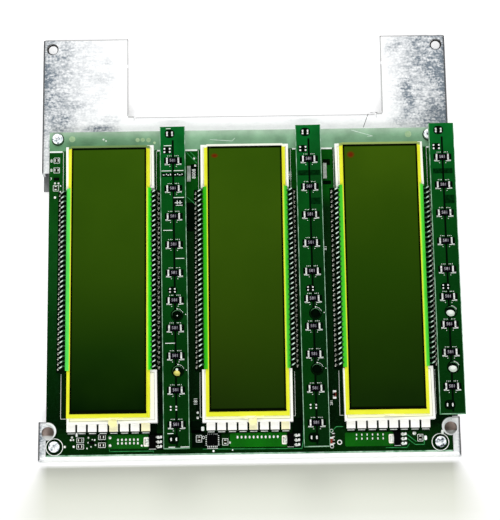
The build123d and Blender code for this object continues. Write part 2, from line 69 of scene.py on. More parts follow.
# Small helpers for materials
class Finish:
    def __init__(self, name, roughness=0.5, metallic=0.0, specular=0.5):
        self.material = bpy.data.materials.new(name)
        self.material.use_nodes = True
        self.tree = self.material.node_tree
        self.shader = self.tree.nodes["Principled BSDF"]
        self.feed(roughness, self.shader.inputs["Roughness"])
        self.feed(metallic, self.shader.inputs["Metallic"])
        self.feed(specular, self.shader.inputs["Specular IOR Level"])
        self.place = self.node("TexCoord").outputs["Object"]

    def node(self, kind):
        return self.tree.nodes.new("ShaderNode" + kind)

    def feed(self, value, socket):
        # a number or a colour is set on the socket, and another node's output is linked to it
        if isinstance(value, (int, float, tuple)):
            socket.default_value = value
        else:
            self.tree.links.new(value, socket)

    def split(self, source, name):
        node = self.node("SeparateXYZ")
        self.feed(source, node.inputs[0])
        return node.outputs[name]

    def axis(self, name):
        # one coordinate of the place on the object, in metres
        return self.split(self.place, name)

    def facing(self, name):
        # one coordinate of the way that a face looks
        return self.split(self.node("NewGeometry").outputs["True Normal"], name)

    def calc(self, operation, first, second=0.5, third=0.5):
        node = self.node("Math")
        node.operation = operation
        for socket, value in zip(node.inputs, (first, second, third)):
            self.feed(value, socket)
        return node.outputs[0]

    def times(self, first, second):
        return self.calc("MULTIPLY", first, second)

    def stretch(self, scale, turn=0.0):
        node = self.node("Mapping")
        self.feed(scale, node.inputs["Scale"])
        self.feed((0, 0, turn), node.inputs["Rotation"])
        self.feed(self.place, node.inputs["Vector"])
        return node.outputs[0]

    def noise(self, scale, detail=3.0, vector=None, rough=0.5):
        node = self.node("TexNoise")
        self.feed(scale, node.inputs["Scale"])
        self.feed(detail, node.inputs["Detail"])
        self.feed(rough, node.inputs["Roughness"])
        self.feed(vector or self.place, node.inputs["Vector"])
        return node.outputs["Fac"]

    def ramp(self, value, stops):
        node = self.node("ValToRGB")
        points = node.color_ramp.elements
        while len(points) < len(stops):
            points.new(0.5)
        for point, (where, shade) in zip(points, stops):
            point.position = where
            point.color = shade if isinstance(shade, tuple) else (shade, shade, shade, 1)
        self.feed(value, node.inputs["Fac"])
        return node.outputs["Color"]

    def cloudy(self, value, dark, light, low=0.3, high=0.7):
        # wanders between two colours as they show on the screen
        return self.ramp(value, [(low, colour(*dark)), (high, colour(*light))])

    def fade(self, value, low, high):
        # 0 below low and 1 above high
        node = self.node("MapRange")
        self.feed(low, node.inputs["From Min"])
        self.feed(high, node.inputs["From Max"])
        self.feed(value, node.inputs["Value"])
        return node.outputs["Result"]

    def along(self, axis, stops):
        # colours or plain values at places along one axis or another length, in millimetres
        low, high = stops[0][0], stops[-1][0]
        length = self.axis(axis) if isinstance(axis, str) else axis
        rows = []
        for where, shade in stops:
            rows.append(((where - low) / (high - low), colour(*shade) if isinstance(shade, tuple) else shade))
        return self.ramp(self.fade(length, low * mm, high * mm), rows)

    def rise(self, axis, low, high):
        # 0 before low and 1 past high on one axis, in millimetres
        return self.fade(self.axis(axis), low * mm, high * mm)

    def between(self, axis, low, high, soft):
        # 1 between two places on one axis and 0 outside them, in millimetres
        up, down = self.rise(axis, low - soft, low + soft), self.rise(axis, high - soft, high + soft)
        return self.calc("SUBTRACT", up, down)

    def away(self, axis, middle):
        # how far a place lies from a middle on one axis, in metres
        return self.calc("ABSOLUTE", self.calc("SUBTRACT", self.axis(axis), middle * mm))

    def spot(self, x, y, wide, high, inner=0.0):
        # 1 in the middle of an oval and 0 outside it, in millimetres
        right = self.calc("DIVIDE", self.away("X", x), wide * mm)
        up = self.calc("DIVIDE", self.away("Y", y), high * mm)
        far = self.calc("ADD", self.times(right, right), self.times(up, up))
        return self.calc("SUBTRACT", 1.0, self.fade(far, inner, 1.0))

    def mix(self, share, first, second):
        node = self.node("Mix")
        node.data_type = "RGBA"
        for index, value in ((0, share), (6, first), (7, second)):
            self.feed(value, node.inputs[index])
        return node.outputs[2]

    def paint(self, source):
        self.feed(source, self.shader.inputs["Base Color"])

    def gloss(self, value, low, high):
        self.feed(self.ramp(value, [(0.3, low), (0.7, high)]), self.shader.inputs["Roughness"])

    def relief(self, value, strength=0.2, depth=0.0001):
        node = self.node("Bump")
        self.feed(strength, node.inputs["Strength"])
        self.feed(depth, node.inputs["Distance"])
        self.feed(value, node.inputs["Height"])
        self.feed(node.outputs[0], self.shader.inputs["Normal"])


def dress(piece, finish):
    piece.data.materials.clear()
    piece.data.materials.append(finish.material)


def dressNodes(finish, *prefixes):
    for name, node in nodes.items():
        if name.startswith(prefixes):
            dress(node, finish)


# Small helpers for modelling
def clearSelection():
    if bpy.context.mode != "OBJECT":
        bpy.ops.object.mode_set(mode="OBJECT")
    bpy.ops.object.select_all(action="DESELECT")


def only(piece):
    clearSelection()
    piece.select_set(True)
    bpy.context.view_layer.objects.active = piece


def settle(piece):
    # put the piece's place, turn and size into its mesh
    only(piece)
    bpy.ops.object.transform_apply(location=True, rotation=True, scale=True)
    return piece


def ease(piece, width, segments=1):
    # a bevel on every edge, in millimetres
    only(piece)
    modifier = piece.modifiers.new("ease", "BEVEL")
    modifier.width = width * mm
    modifier.segments = segments
    bpy.ops.object.modifier_apply(modifier="ease")
    return piece


def block(size, at, turn=0.0, bevel=0.0, segments=1):
    # a block with its edges eased, with its size and the middle of its foot in millimetres
    clearSelection()
    centre = (at[0] * mm, at[1] * mm, (at[2] + size[2] / 2) * mm)
    bpy.ops.mesh.primitive_cube_add(size=1, location=centre, rotation=(0, 0, math.radians(turn)))
    piece = bpy.context.active_object
    piece.scale = [value * mm for value in size]
    settle(piece)
    return ease(piece, bevel, segments) if bevel else piece


def disc(radius, thickness, at, sides=32):
    # a short cylinder round its middle, in millimetres
    clearSelection()
    bpy.ops.mesh.primitive_cylinder_add(
        vertices=sides, radius=radius * mm, depth=thickness * mm, location=[value * mm for value in at])
    return settle(bpy.context.active_object)


def dome(radius, height, at=(0, 0, 0), sides=10, rings=3):
    # the upper half of a squashed ball
    clearSelection()
    bpy.ops.mesh.primitive_uv_sphere_add(
        segments=sides, ring_count=2 * rings, radius=radius * mm, location=(0, 0, 0))
    piece = bpy.context.active_object
    bpy.ops.object.mode_set(mode="EDIT")
    bpy.ops.mesh.select_all(action="SELECT")
    bpy.ops.mesh.bisect(plane_co=(0, 0, 0), plane_no=(0, 0, 1), use_fill=True, clear_inner=True)
    bpy.ops.mesh.select_all(action="SELECT")
    bpy.ops.transform.resize(value=(1, 1, height / radius), center_override=(0, 0, 0))
    bpy.ops.object.mode_set(mode="OBJECT")
    piece.location = [value * mm for value in at]
    settle(piece)
    bpy.ops.object.shade_smooth_by_angle(angle=math.radians(50))
    return piece


def plate(size, at, turn=0.0, corner=0.0):
    # a thin plate: a plane at its size and place, its corners rounded where asked, drawn up by its thickness
    clearSelection()
    bpy.ops.mesh.primitive_plane_add(
        size=1, location=[value * mm for value in at], rotation=(0, 0, math.radians(turn)))
    piece = bpy.context.active_object
    piece.scale = (size[0] * mm, size[1] * mm, 1)
    settle(piece)
    bpy.ops.object.mode_set(mode="EDIT")
    bpy.ops.mesh.select_all(action="SELECT")
    if corner:
        bpy.ops.mesh.bevel(offset=corner * mm, segments=3, affect="VERTICES")
    bpy.ops.mesh.extrude_region_move(TRANSFORM_OT_translate={"value": (0, 0, size[2] * mm)})
    bpy.ops.mesh.select_all(action="SELECT")
    bpy.ops.mesh.normals_make_consistent(inside=False)
    bpy.ops.object.mode_set(mode="OBJECT")
    return piece


def printed(name, rows, low, thickness, corner=0.0):
    # flat plates joined as one piece: each row is x, y, width, length and, where needed, a turn in degrees
    pieces = []
    for x, y, wide, high, *turn in rows:
        pieces.append(plate((wide, high, thickness), (x, y, low), turn[0] if turn else 0, corner))
    return merge(pieces, name)


def repeat(model, name, places, keep=False):
    # copies of one model, each with its own mesh, joined as one piece. A place is x, y, z in millimetres,
    # a turn in degrees and, where needed, a size or the three sizes of its sides
    clearSelection()
    copies = []
    for x, y, z, turn, *size in places:
        twin = model.copy()
        twin.data = model.data.copy()
        bpy.context.scene.collection.objects.link(twin)
        size = size[0] if size else 1
        sides = size if isinstance(size, tuple) else (size, size, size)
        move = Matrix.Translation((x * mm, y * mm, z * mm)) @ Matrix.Rotation(math.radians(turn), 4, "Z")
        twin.data.transform(move @ Matrix.Diagonal((*sides, 1)))
        copies.append(twin)
    if not keep:
        bpy.data.objects.remove(model)
    return merge(copies, name)


def merge(pieces, name):
    clearSelection()
    for piece in pieces:
        piece.select_set(True)
    bpy.context.view_layer.objects.active = pieces[0]
    if len(pieces) > 1:
        bpy.ops.object.join()
    whole = bpy.context.active_object
    whole.name = name
    whole.data.name = name
    return whole


def rings(name, rows, low, thickness, sides=40):
    # flat rings: each row is x, y, outer radius and width
    pieces = []
    for x, y, outer, width in rows:
        piece = disc(outer, thickness, (0, 0, 0), sides)
        bpy.ops.object.mode_set(mode="EDIT")
        bpy.ops.mesh.select_mode(type="FACE")
        bpy.ops.mesh.select_all(action="DESELECT")
        bpy.ops.object.mode_set(mode="OBJECT")
        for face in piece.data.polygons:
            face.select = abs(face.normal.z) > 0.9
        bpy.ops.object.mode_set(mode="EDIT")
        bpy.ops.mesh.inset(thickness=width * mm, use_individual=True)
        bpy.ops.mesh.bridge_edge_loops()
        bpy.ops.object.mode_set(mode="OBJECT")
        piece.location = (x * mm, y * mm, (low + thickness / 2) * mm)
        pieces.append(settle(piece))
    return merge(pieces, name)


def put(piece, finish):
    dress(piece, finish)
    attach(piece, "root")
    return piece


def onStrip(index, across, down):
    # a place on a strip, from the middle of its top end
    row = stripRows[index]
    turn = math.radians(row["turn"])
    half = row["length"] / 2
    rise = half - down
    return (
        row["x"] + across * math.cos(turn) - rise * math.sin(turn),
        stripTop - half + across * math.sin(turn) + rise * math.cos(turn),
    )


# Camera, from a fit to the corner holes and the sheet's corners
cameraFit = {
    "elevation": 78.4,
    "azimuth": 0.038,
    "roll": -0.842,
    "distance": 0.777563,
    "target": (0.00155, -0.013452, 0.0),
    "focal": 1529.559,
    "width": 500,
    "sensor": 36,
}


def makeCamera():
    up = math.radians(cameraFit["elevation"])
    side = math.radians(cameraFit["azimuth"])
    roll = math.radians(cameraFit["roll"])
    back = Vector((math.sin(side) * math.cos(up), -math.cos(side) * math.cos(up), math.sin(up)))
    right = Vector((math.cos(side), math.sin(side), 0))
    top = back.cross(right)
    turnedRight = math.cos(roll) * right + math.sin(roll) * top
    turnedTop = -math.sin(roll) * right + math.cos(roll) * top
    lens = bpy.data.cameras.new("camera")
    lens.sensor_fit = "HORIZONTAL"
    lens.sensor_width = cameraFit["sensor"]
    lens.lens = cameraFit["sensor"] * cameraFit["focal"] / cameraFit["width"]
    lens.clip_start = 0.01
    camera = bpy.data.objects.new("camera", lens)
    bpy.context.scene.collection.objects.link(camera)
    spot = Vector(cameraFit["target"]) + cameraFit["distance"] * back
    turned = Matrix((turnedRight, turnedTop, back)).transposed().to_4x4()
    camera.matrix_world = Matrix.Translation(spot) @ turned
    bpy.context.scene.camera = camera


# Studio: a white table, a pale sky, a large soft lamp beyond the ears and a weaker one in front
studio = {
    "sky": 0.34,
    "lamps": [
        {"place": (-0.1, 2.9, 3.3), "size": 2.8, "power": 104.0},
        {"place": (0.05, -1.5, 1.35), "size": 0.9, "power": 24.0},
    ],
    "table": 6.0,
    "glow": [(-116, 0.06), (-100, 0.36)],
    "shade": [(-150, (224, 226, 216)), (-131, (212, 214, 202)), (-122, (202, 204, 192)),
              (-115.5, (178, 180, 169))],
    "shadeStart": (-115.1, -117),
    "shadeEnd": (-175, -140),
    "shadeSide": 101,
    "shadeWidening": (-0.95, -0.1055),
}


def makeSky():
    # white where it is seen, also in metal and through glass, and weaker as a light
    world = bpy.data.worlds.new("sky")
    world.use_nodes = True
    bpy.context.scene.world = world
    tree = world.node_tree
    light = tree.nodes["Background"]
    white = tree.nodes.new("ShaderNodeBackground")
    for background, strength in ((light, studio["sky"]), (white, 1.0)):
        background.inputs["Color"].default_value = (1, 1, 1, 1)
        background.inputs["Strength"].default_value = strength
    path = tree.nodes.new("ShaderNodeLightPath")
    seen = path.outputs["Is Camera Ray"]
    for kind in ("Is Glossy Ray", "Is Transmission Ray"):
        either = tree.nodes.new("ShaderNodeMath")
        either.operation = "MAXIMUM"
        tree.links.new(seen, either.inputs[0])
        tree.links.new(path.outputs[kind], either.inputs[1])
        seen = either.outputs[0]
    blend = tree.nodes.new("ShaderNodeMixShader")
    tree.links.new(seen, blend.inputs[0])
    tree.links.new(light.outputs[0], blend.inputs[1])
    tree.links.new(white.outputs[0], blend.inputs[2])
    tree.links.new(blend.outputs[0], tree.nodes["World Output"].inputs["Surface"])


def makeLamps():
    for row in studio["lamps"]:
        lamp = bpy.data.lights.new("softbox", "AREA")
        lamp.shape = "SQUARE"
        lamp.size = row["size"]
        lamp.energy = row["power"]
        stand = bpy.data.objects.new("softbox", lamp)
        bpy.context.scene.collection.objects.link(stand)
        stand.location = row["place"]
        stand.rotation_euler = Vector(row["place"]).to_track_quat("Z", "Y").to_euler()


def tableFinish():
    # white, with a painted shadow before the sheet: a grey tone that grows wider and softer further away
    finish = Finish("tableTop", roughness=0.9, specular=0.0)
    base = finish.cloudy(finish.noise(3.0), (250, 250, 250), (255, 255, 255))
    near = finish.rise("Y", *studio["shadeStart"])
    far = finish.rise("Y", *studio["shadeEnd"])
    outside = finish.calc("SUBTRACT", finish.away("X", 0), studio["shadeSide"] * mm)
    wider = finish.calc("MULTIPLY_ADD", finish.axis("Y"), *studio["shadeWidening"])
    inner = finish.fade(finish.calc("DIVIDE", outside, wider), 1.0, 0.0)
    share = finish.times(inner, finish.times(near, far))
    finish.paint(finish.mix(share, base, finish.along("Y", studio["shade"])))
    path = finish.node("LightPath")
    seen = finish.calc("MAXIMUM", path.outputs["Is Camera Ray"], path.outputs["Is Glossy Ray"])
    glow = finish.times(seen, finish.along("Y", studio["glow"]))
    finish.feed((1, 1, 1, 1), finish.shader.inputs["Emission Color"])
    finish.feed(glow, finish.shader.inputs["Emission Strength"])
    return finish


def makeStudio():
    bpy.context.scene.view_settings.view_transform = "Standard"
    makeSky()
    makeLamps()
    clearSelection()
    bpy.ops.mesh.primitive_plane_add(size=studio["table"], location=(0, 0, level["floor"] * mm))
    table = settle(bpy.context.active_object)
    table.name = "table"
    dress(table, tableFinish())


makeCamera()
makeStudio()
print("camera and studio ready")


# Sheet aluminium: nearly white, and grey and mottled toward the outer sides of the ears
metal = {
    "white": (254, 255, 255),
    "grey": (104, 116, 127),
    # painted shade on the folds, on the side walls and along the cut edges
    "fold": (16, 16, 18),
    "wallShade": (112, 118, 122),
    "line": (110, 106, 104),
    "dull": [(-105, 1.15), (-101, 0.98), (-97, 0.78), (-93, 0.7), (-88, 0.56), (-80, 0.4), (-72, 0.26),
             (-61, 0.08), (71, 0.12), (79, 0.46), (85, 0.7), (91, 0.94), (97, 1.18), (101, 1.3),
             (105, 1.4)],
    "lower": [(-116, 0.15), (-88, 0.15), (-86, 0.0), (15, 0.0), (60, 1.0)],
    "edges": {"sides": [(-61.0, -60.3), (70.8, 71.5)], "start": (63.0, 63.2), "break": (89.4, 90.9),
              "fold": (62.2, 63.2), "across": (-60.5, 71.0), "top": (104.3, 104.6), "tabs": (-95.2, -94.5)},
    "spots": [(-97.5, 95.5, 7, 3, 0.3), (-101.7, 83, 3, 9, 0.3), (-74, 83.5, 8, 4, 0.22),
              (-71, 92.5, 5, 2, 0.2), (-86.2, 69.6, 5, 3, 0.35), (-94.5, 60.8, 8, 6, 0.2),
              (-69.5, 61.2, 6, 3.5, 0.5), (-74, 56.4, 11, 2.6, 0.75), (83.7, 78.6, 5, 4, 0.55),
              (84.2, 74.3, 3.5, 5, 0.4), (85.3, 69.4, 3.5, 5, 0.45), (82.7, 62.9, 3.5, 4, 0.4),
              (81.7, 58.6, 6, 3.5, 0.45), (78.6, 99.5, 5, 4, 0.35), (75, 96.5, 3.5, 4, 0.3),
              (88.5, 97, 8, 7, 0.25), (-104.2, -103, 4.5, 13, 1.0), (104.6, -106, 1.6, 11, 0.7)],
}


def sheetFinish():
    finish = Finish("brushedSheet", roughness=0.45, metallic=0.15, specular=0.4)
    streaks = finish.noise(1.0, 3.0, finish.stretch((260, 950, 950), 0.06), 0.6)
    grain = finish.noise(1000.0, 2.0)
    clouds = finish.noise(90.0, 4.0)
    dull = finish.along("X", metal["dull"])
    dull = finish.times(dull, finish.along("Y", metal["lower"]))
    for x, y, wide, high, depth in metal["spots"]:
        dull = finish.calc("MULTIPLY_ADD", finish.spot(x, y, wide, high), depth, dull)
    dull = finish.times(dull, finish.calc("MULTIPLY_ADD", clouds, 1.6, 0.2))
    mottle = finish.calc("ADD", finish.fade(streaks, 0.36, 0.64), finish.fade(grain, 0.36, 0.64))
    share = finish.times(dull, finish.calc("MULTIPLY_ADD", mottle, 0.45, 0.2))
    base = finish.mix(share, colour(*metal["white"]), colour(*metal["grey"]))
    # painted shade: thin dark lines along the cut edges of the ears and of the gap between them, and on the
    # lower tabs
    edges = metal["edges"]
    beyond = finish.rise("Y", *edges["start"])
    beyond = finish.calc("SUBTRACT", beyond, finish.between("Y", *edges["break"], 0.1))
    lines = finish.times(finish.between("Y", *edges["fold"], 0.1), finish.between("X", *edges["across"], 0.2))
    for low, high in edges["sides"]:
        lines = finish.calc("MULTIPLY_ADD", finish.between("X", low, high, 0.1), beyond, lines)
    lines = finish.calc("ADD", lines, finish.rise("Y", *edges["top"]))
    lines = finish.calc("ADD", lines, finish.between("Y", *edges["tabs"], 0.1))
    base = finish.mix(finish.times(lines, 0.6), base, colour(*metal["line"]))
    # painted shade: the folds are dark where they turn away, and the walls behind them grey
    sideways = finish.calc("ABSOLUTE", finish.facing("X"))
    base = finish.mix(finish.fade(sideways, 0.45, 0.75), base, colour(*metal["fold"]))
    base = finish.mix(finish.fade(sideways, 0.992, 0.998), base, colour(*metal["wallShade"]))
    finish.paint(base)
    finish.gloss(streaks, 0.38, 0.52)
    finish.relief(streaks, 0.12, 0.00004)
    return finish


dressNodes(sheetFinish(), "chassis")


# Circuit boards: solder mask over a woven laminate
mask = {
    "band": [(43.4, (94, 142, 102)), (46.5, (110, 158, 120)), (50.0, (150, 192, 156)),
             (53.5, (205, 222, 205))],
    "bandAcross": [(-100.0, (100, 152, 108)), (-70.0, (112, 162, 122)), (-20.0, (166, 212, 176)),
                   (30.0, (170, 214, 180)), (100.0, (152, 200, 164))],
    "margin": [(-112.0, (4, 36, 4)), (-100.0, (1, 15, 1)), (-75.0, (4, 33, 4)), (-45.0, (7, 52, 11)),
               (-15.0, (14, 72, 21)), (10.0, (14, 76, 19)), (40.0, (13, 72, 17))],
    "inner": [(-112.0, (3, 34, 3)), (-101.5, (6, 38, 6)), (-98.0, (3, 18, 3)), (-45.0, (7, 34, 8)),
              (12.0, (7, 38, 9)), (20.0, (8, 78, 13)), (43.0, (8, 76, 12))],
    "strip": [(-110.0, (6, 50, 8)), (-60.0, (4, 54, 8)), (-30.0, (6, 66, 16)), (0.0, (7, 72, 18)),
              (27.0, (5, 82, 24)), (52.0, (9, 106, 40))],
    "stripLow": [(-110.0, (5, 38, 8)), (-60.0, (4, 38, 8)), (-30.0, (5, 47, 11)), (0.0, (6, 58, 14)),
                 (27.0, (9, 68, 21)), (52.0, (10, 100, 38))],
    "pour": [(-70, (17, 83, 17)), (4, (16, 106, 14)), (71, (15, 84, 14))],
    "marginEnd": (-95.5, -93.5),
    "bandStart": (43.3, 43.5),
    "bare": (140, 186, 148),
    "crescents": {"places": [(-99.6, -99.6), (99.4, -99.7)], "radius": 4.5, "colour": (240, 244, 242)},
    "stripDark": [0.25, 1.0, 0.15],
    "stripMix": [0.0, 0.0, 0.35],
    "cut": (110, 168, 118),
    "cloud": (3, 18, 5),
    "weave": (60, 130, 80),
}


def laminate(finish, base):
    # cloudy tones and a fine weave over the mask's colour, and the pale laminate at the cut edges
    cloud = finish.noise(130.0, 5.0)
    weave = finish.noise(1.0, 1.0, finish.stretch((2200, 2200, 2200)))
    share = finish.times(finish.fade(cloud, 0.35, 0.75), 0.3)
    base = finish.mix(share, base, colour(*mask["cloud"]))
    base = finish.mix(finish.times(finish.fade(weave, 0.5, 0.7), 0.05), base, colour(*mask["weave"]))
    upward = finish.fade(finish.calc("ABSOLUTE", finish.facing("Z")), 0.5, 0.6)
    finish.paint(finish.mix(upward, colour(*mask["cut"]), base))
    finish.gloss(cloud, 0.45, 0.6)
    finish.relief(weave, 0.08, 0.00003)
    return finish


def mainBoardFinish():
    finish = Finish("mainBoardMask", roughness=0.5, specular=0.004)
    margin, inner = finish.along("Y", mask["margin"]), finish.along("Y", mask["inner"])
    base = finish.mix(finish.rise("X", *mask["marginEnd"]), margin, inner)
    band = finish.along("Y", mask["band"])
    bare = finish.mix(finish.noise(90.0, 4.0), band, colour(*mask["bare"]))
    bare = finish.mix(0.4, finish.mix(0.25, band, bare), finish.along("X", mask["bandAcross"]))
    base = finish.mix(finish.rise("Y", *mask["bandStart"]), base, bare)
    row = mask["crescents"]
    for x, y in row["places"]:
        share = finish.spot(x, y, row["radius"], row["radius"], 0.9)
        base = finish.mix(share, base, colour(*row["colour"]))
    return laminate(finish, base)


def stripFinish(index):
    # the strips are darker on their lower right, most of all the middle one
    finish = Finish("stripMask%d" % (index + 1), roughness=0.5, specular=0.005)
    upper = finish.along("Y", mask["strip"])
    lower = finish.along("Y", mask["stripLow"])
    middle = stripRows[index]["x"]
    share = finish.times(finish.rise("X", middle - 1, middle + 1), mask["stripDark"][index])
    return laminate(finish, finish.mix(share, finish.mix(mask["stripMix"][index], upper, lower), lower))


def pourFinish():
    finish = Finish("pourMask", roughness=0.5, specular=0.007)
    return laminate(finish, finish.along("X", mask["pour"]))


dressNodes(mainBoardFinish(), "main_board")
for index in range(3):
    dressNodes(stripFinish(index), "strip_board_%d" % (index + 1))


def plain(name, dark, light, scale=200.0, roughness=0.5, metallic=0.0, specular=0.5, bump=0.1):
    # a finish that wanders between two tones, with a fine grain
    finish = Finish(name, roughness=roughness, metallic=metallic, specular=specular)
    tone = finish.noise(scale, 4.0)
    finish.paint(finish.cloudy(tone, dark, light))
    finish.gloss(tone, max(0.05, roughness - 0.08), min(1.0, roughness + 0.08))
    finish.relief(finish.noise(scale * 6, 2.0), bump, 0.00003)
    return finish


# Side-facing LEDs: a pale line of terminals before a body painted dark as shade
leds = {
    "body": (6, 14, 6),
    "pale": [(206, 216, 206), (252, 255, 250)],
    "terminals": (-101.2, -100.85),
}


def ledBodies():
    finish = Finish("ledBodies", roughness=0.4, specular=0.04)
    tone = finish.noise(900.0, 3.0)
    pale = finish.cloudy(tone, *leds["pale"], 0.35, 0.65)
    # the body is painted dark as shade, the terminals pale
    finish.paint(finish.mix(finish.between("Y", *leds["terminals"], 0.03), colour(*leds["body"]), pale))
    finish.relief(tone, 0.1, 0.00003)
    return finish


# The resin lets the yellow film show through beside the glass and is darker where it slopes to the pins
resin = {
    "tones": [((92, 226, 92), (44, 222, 34)), ((52, 184, 24), (70, 200, 50)), ((72, 200, 46), (80, 220, 62))],
    "cloud": (20, 170, 10),
    "film": (188, 238, 72),
    "inner": (19.25, 19.85),
    "shift": 0.17,
}


def resinFinish(index):
    finish = Finish("greenResin%d" % (index + 1), roughness=0.25, specular=0.06)
    tone = finish.noise(160.0, 4.0)
    left, right = resin["tones"][index]
    middle = moduleX[index] + resin["shift"]
    base = finish.mix(finish.rise("X", middle - 1, middle + 1), colour(*left), colour(*right))
    base = finish.mix(finish.times(finish.fade(tone, 0.4, 0.7), 0.25), base, colour(*resin["cloud"]))
    low, high = resin["inner"]
    outer = finish.fade(finish.away("X", middle), low * mm, high * mm)
    base = finish.mix(outer, colour(*resin["film"]), base)
    finish.paint(base)
    finish.gloss(tone, 0.2, 0.34)
    finish.relief(tone, 0.15, 0.0001)
    return finish


# LED holders: two fingers of the first two modules are creamier than the rest, and the walls between the
# fingers are painted dark as shade
holder = {
    "white": [(253, 252, 243), (255, 255, 252)],
    "cream": (248, 243, 190),
    "creamPlaces": [(-69.0, -64.7), (-53.2, -48.8), (-0.4, 4.0), (15.4, 19.8)],
    "wallShade": (12, 14, 9),
}


def holderTabs():
    finish = Finish("holderPlastic", roughness=0.4, specular=0.2)
    tone = finish.noise(120.0, 4.0)
    base = finish.cloudy(tone, *holder["white"])
    for low, high in holder["creamPlaces"]:
        share = finish.times(finish.between("X", low, high, 0.15), 0.8)
        base = finish.mix(share, base, colour(*holder["cream"]))
    # painted shade on the walls between the fingers
    shadedWalls = finish.fade(finish.calc("ABSOLUTE", finish.facing("Z")), 0.5, 0.3)
    shadedWalls = finish.times(shadedWalls, finish.rise("Y", -94.5, -95.5))
    finish.paint(finish.mix(shadedWalls, base, colour(*holder["wallShade"])))
    finish.gloss(tone, 0.32, 0.48)
    finish.relief(finish.noise(700.0, 2.0), 0.1, 0.00003)
    return finish


blackTop = plain("moulding", (1, 1, 1), (6, 7, 7), 600, 0.5, specular=0.01)
solder = plain("solder", (176, 184, 174), (253, 255, 250), 900, 0.3, 0.3)
brightEnds = plain("brightEnds", (226, 228, 224), (255, 255, 254), 900, 0.35, 0.1, specular=0.3)
whitePlastic = plain("whitePlastic", (251, 252, 246), (255, 255, 254), 60, 0.4, specular=0.3)
creamPlastic = plain("creamPlastic", (252, 249, 232), (255, 254, 244), 120, 0.4, specular=0.3)
sealFinish = plain("sealResin", (242, 239, 160), (253, 251, 214), 200, 0.25)
silk = plain("silkPrint", (232, 242, 232), (252, 255, 252), 900, 0.7, specular=0.1)

dressNodes(plain("platedSteel", (150, 158, 160), (235, 240, 240), 500, 0.25, 0.9),
           "standoffs", "board_screws")
dressNodes(plain("blackPlastic", (4, 4, 5), (14, 14, 15), 300, 0.45, specular=0.06),
           "strip_sockets", "strip_headers", "rear_connectors")
dressNodes(plain("brownCeramic", (10, 6, 5), (36, 24, 19), 500, 0.4, specular=0.04), "chip_parts")
dressNodes(plain("greyCeramic", (120, 130, 120), (190, 198, 190), 300, 0.5), "long_chip_parts")
dressNodes(plain("resistorGlaze", (1, 1, 3), (6, 5, 10), 700, 0.5, specular=0.01), "strip_resistors")
dressNodes(plain("endTin", (150, 154, 150), (248, 250, 246), 1000, 0.4, 0.1, specular=0.2), "resistor_ends")
dressNodes(plain("guide", (252, 253, 232), (255, 255, 244), 80, 0.4, specular=0.2), "light_guide")
dressNodes(plain("diffuserFilm", (214, 214, 24), (236, 236, 60), 90, 0.35, specular=0.3), "diffuser_film")
dressNodes(solder, "header_pins", "regulator_legs", "chip_part_ends", "rear_connector_pins", "edge_pins")
dressNodes(blackTop, "regulators", "controller_chip", "small_transistors")
dressNodes(whitePlastic, "backlight_housing")
dressNodes(sealFinish, "fill_seal")
dressNodes(holderTabs(), "led_holder")
dressNodes(ledBodies(), "backlight_leds")
for index in range(3):
    dressNodes(resinFinish(index), "pin_resin_%d" % (index + 1))


# Glass, which shows the yellow film under it and lets the light through to what lies beside it
glassTones = {
    "edge": (236, 238, 60),
    "middle": (222, 224, 40),
    "top": [(112, 142, 84), (246, 249, 234), (150, 170, 96)],
    "topStart": (42.4, 42.7),
    "clear": 0.85,
}


def glassFinish(index):
    finish = Finish("displayGlass%d" % (index + 1), roughness=0.08, specular=0.08)
    smudge = finish.noise(70.0, 4.0)
    base = finish.cloudy(smudge, glassTones["middle"], glassTones["edge"])
    base = finish.mix(finish.rise("Y", *glassTones["topStart"]), base, colour(*glassTones["top"][index]))
    finish.paint(base)
    finish.gloss(smudge, 0.06, 0.14)
    # most of the light passes to what lies beside it
    blend = finish.node("MixShader")
    shadow = finish.node("LightPath").outputs["Is Shadow Ray"]
    finish.feed(finish.times(shadow, glassTones["clear"]), blend.inputs[0])
    finish.feed(finish.shader.outputs[0], blend.inputs[1])
    finish.feed(finish.node("BsdfTransparent").outputs[0], blend.inputs[2])
    finish.feed(blend.outputs[0], finish.tree.nodes["Material Output"].inputs["Surface"])
    return finish


# The dark polarisers: olive above and nearly black below as a painted reflection, with a black rim and two
# spots of red ink
film = {
    "half": (18.65, 67.05),
    "rim": 0.85,
    "below": [0.75, 0.5, 0.4],
    "tones": [
        [(-91.3, (2, 20, 1)), (-62.0, (19, 46, 4)), (-24.0, (42, 71, 7)), (42.8, (54, 87, 10))],
        [(-91.3, (24, 42, 5)), (-60.0, (38, 61, 6)), (-24.0, (48, 75, 8)), (42.8, (54, 86, 9))],
        [(-91.3, (15, 36, 4)), (-60.0, (23, 46, 4)), (-24.0, (34, 63, 5)), (42.8, (57, 87, 9))],
    ],
    "cloud": (30, 60, 4),
    "black": (3, 9, 0),
    "red": (104, 36, 8),
    "ink": [None, (-15.7, 37.9, 2.1, 1.4), (53.2, 37.5, 2.2, 2.0)],
    "lap": {"over": 0.15, "out": 0.3, "side": 0.36, "thick": 0.23},
}


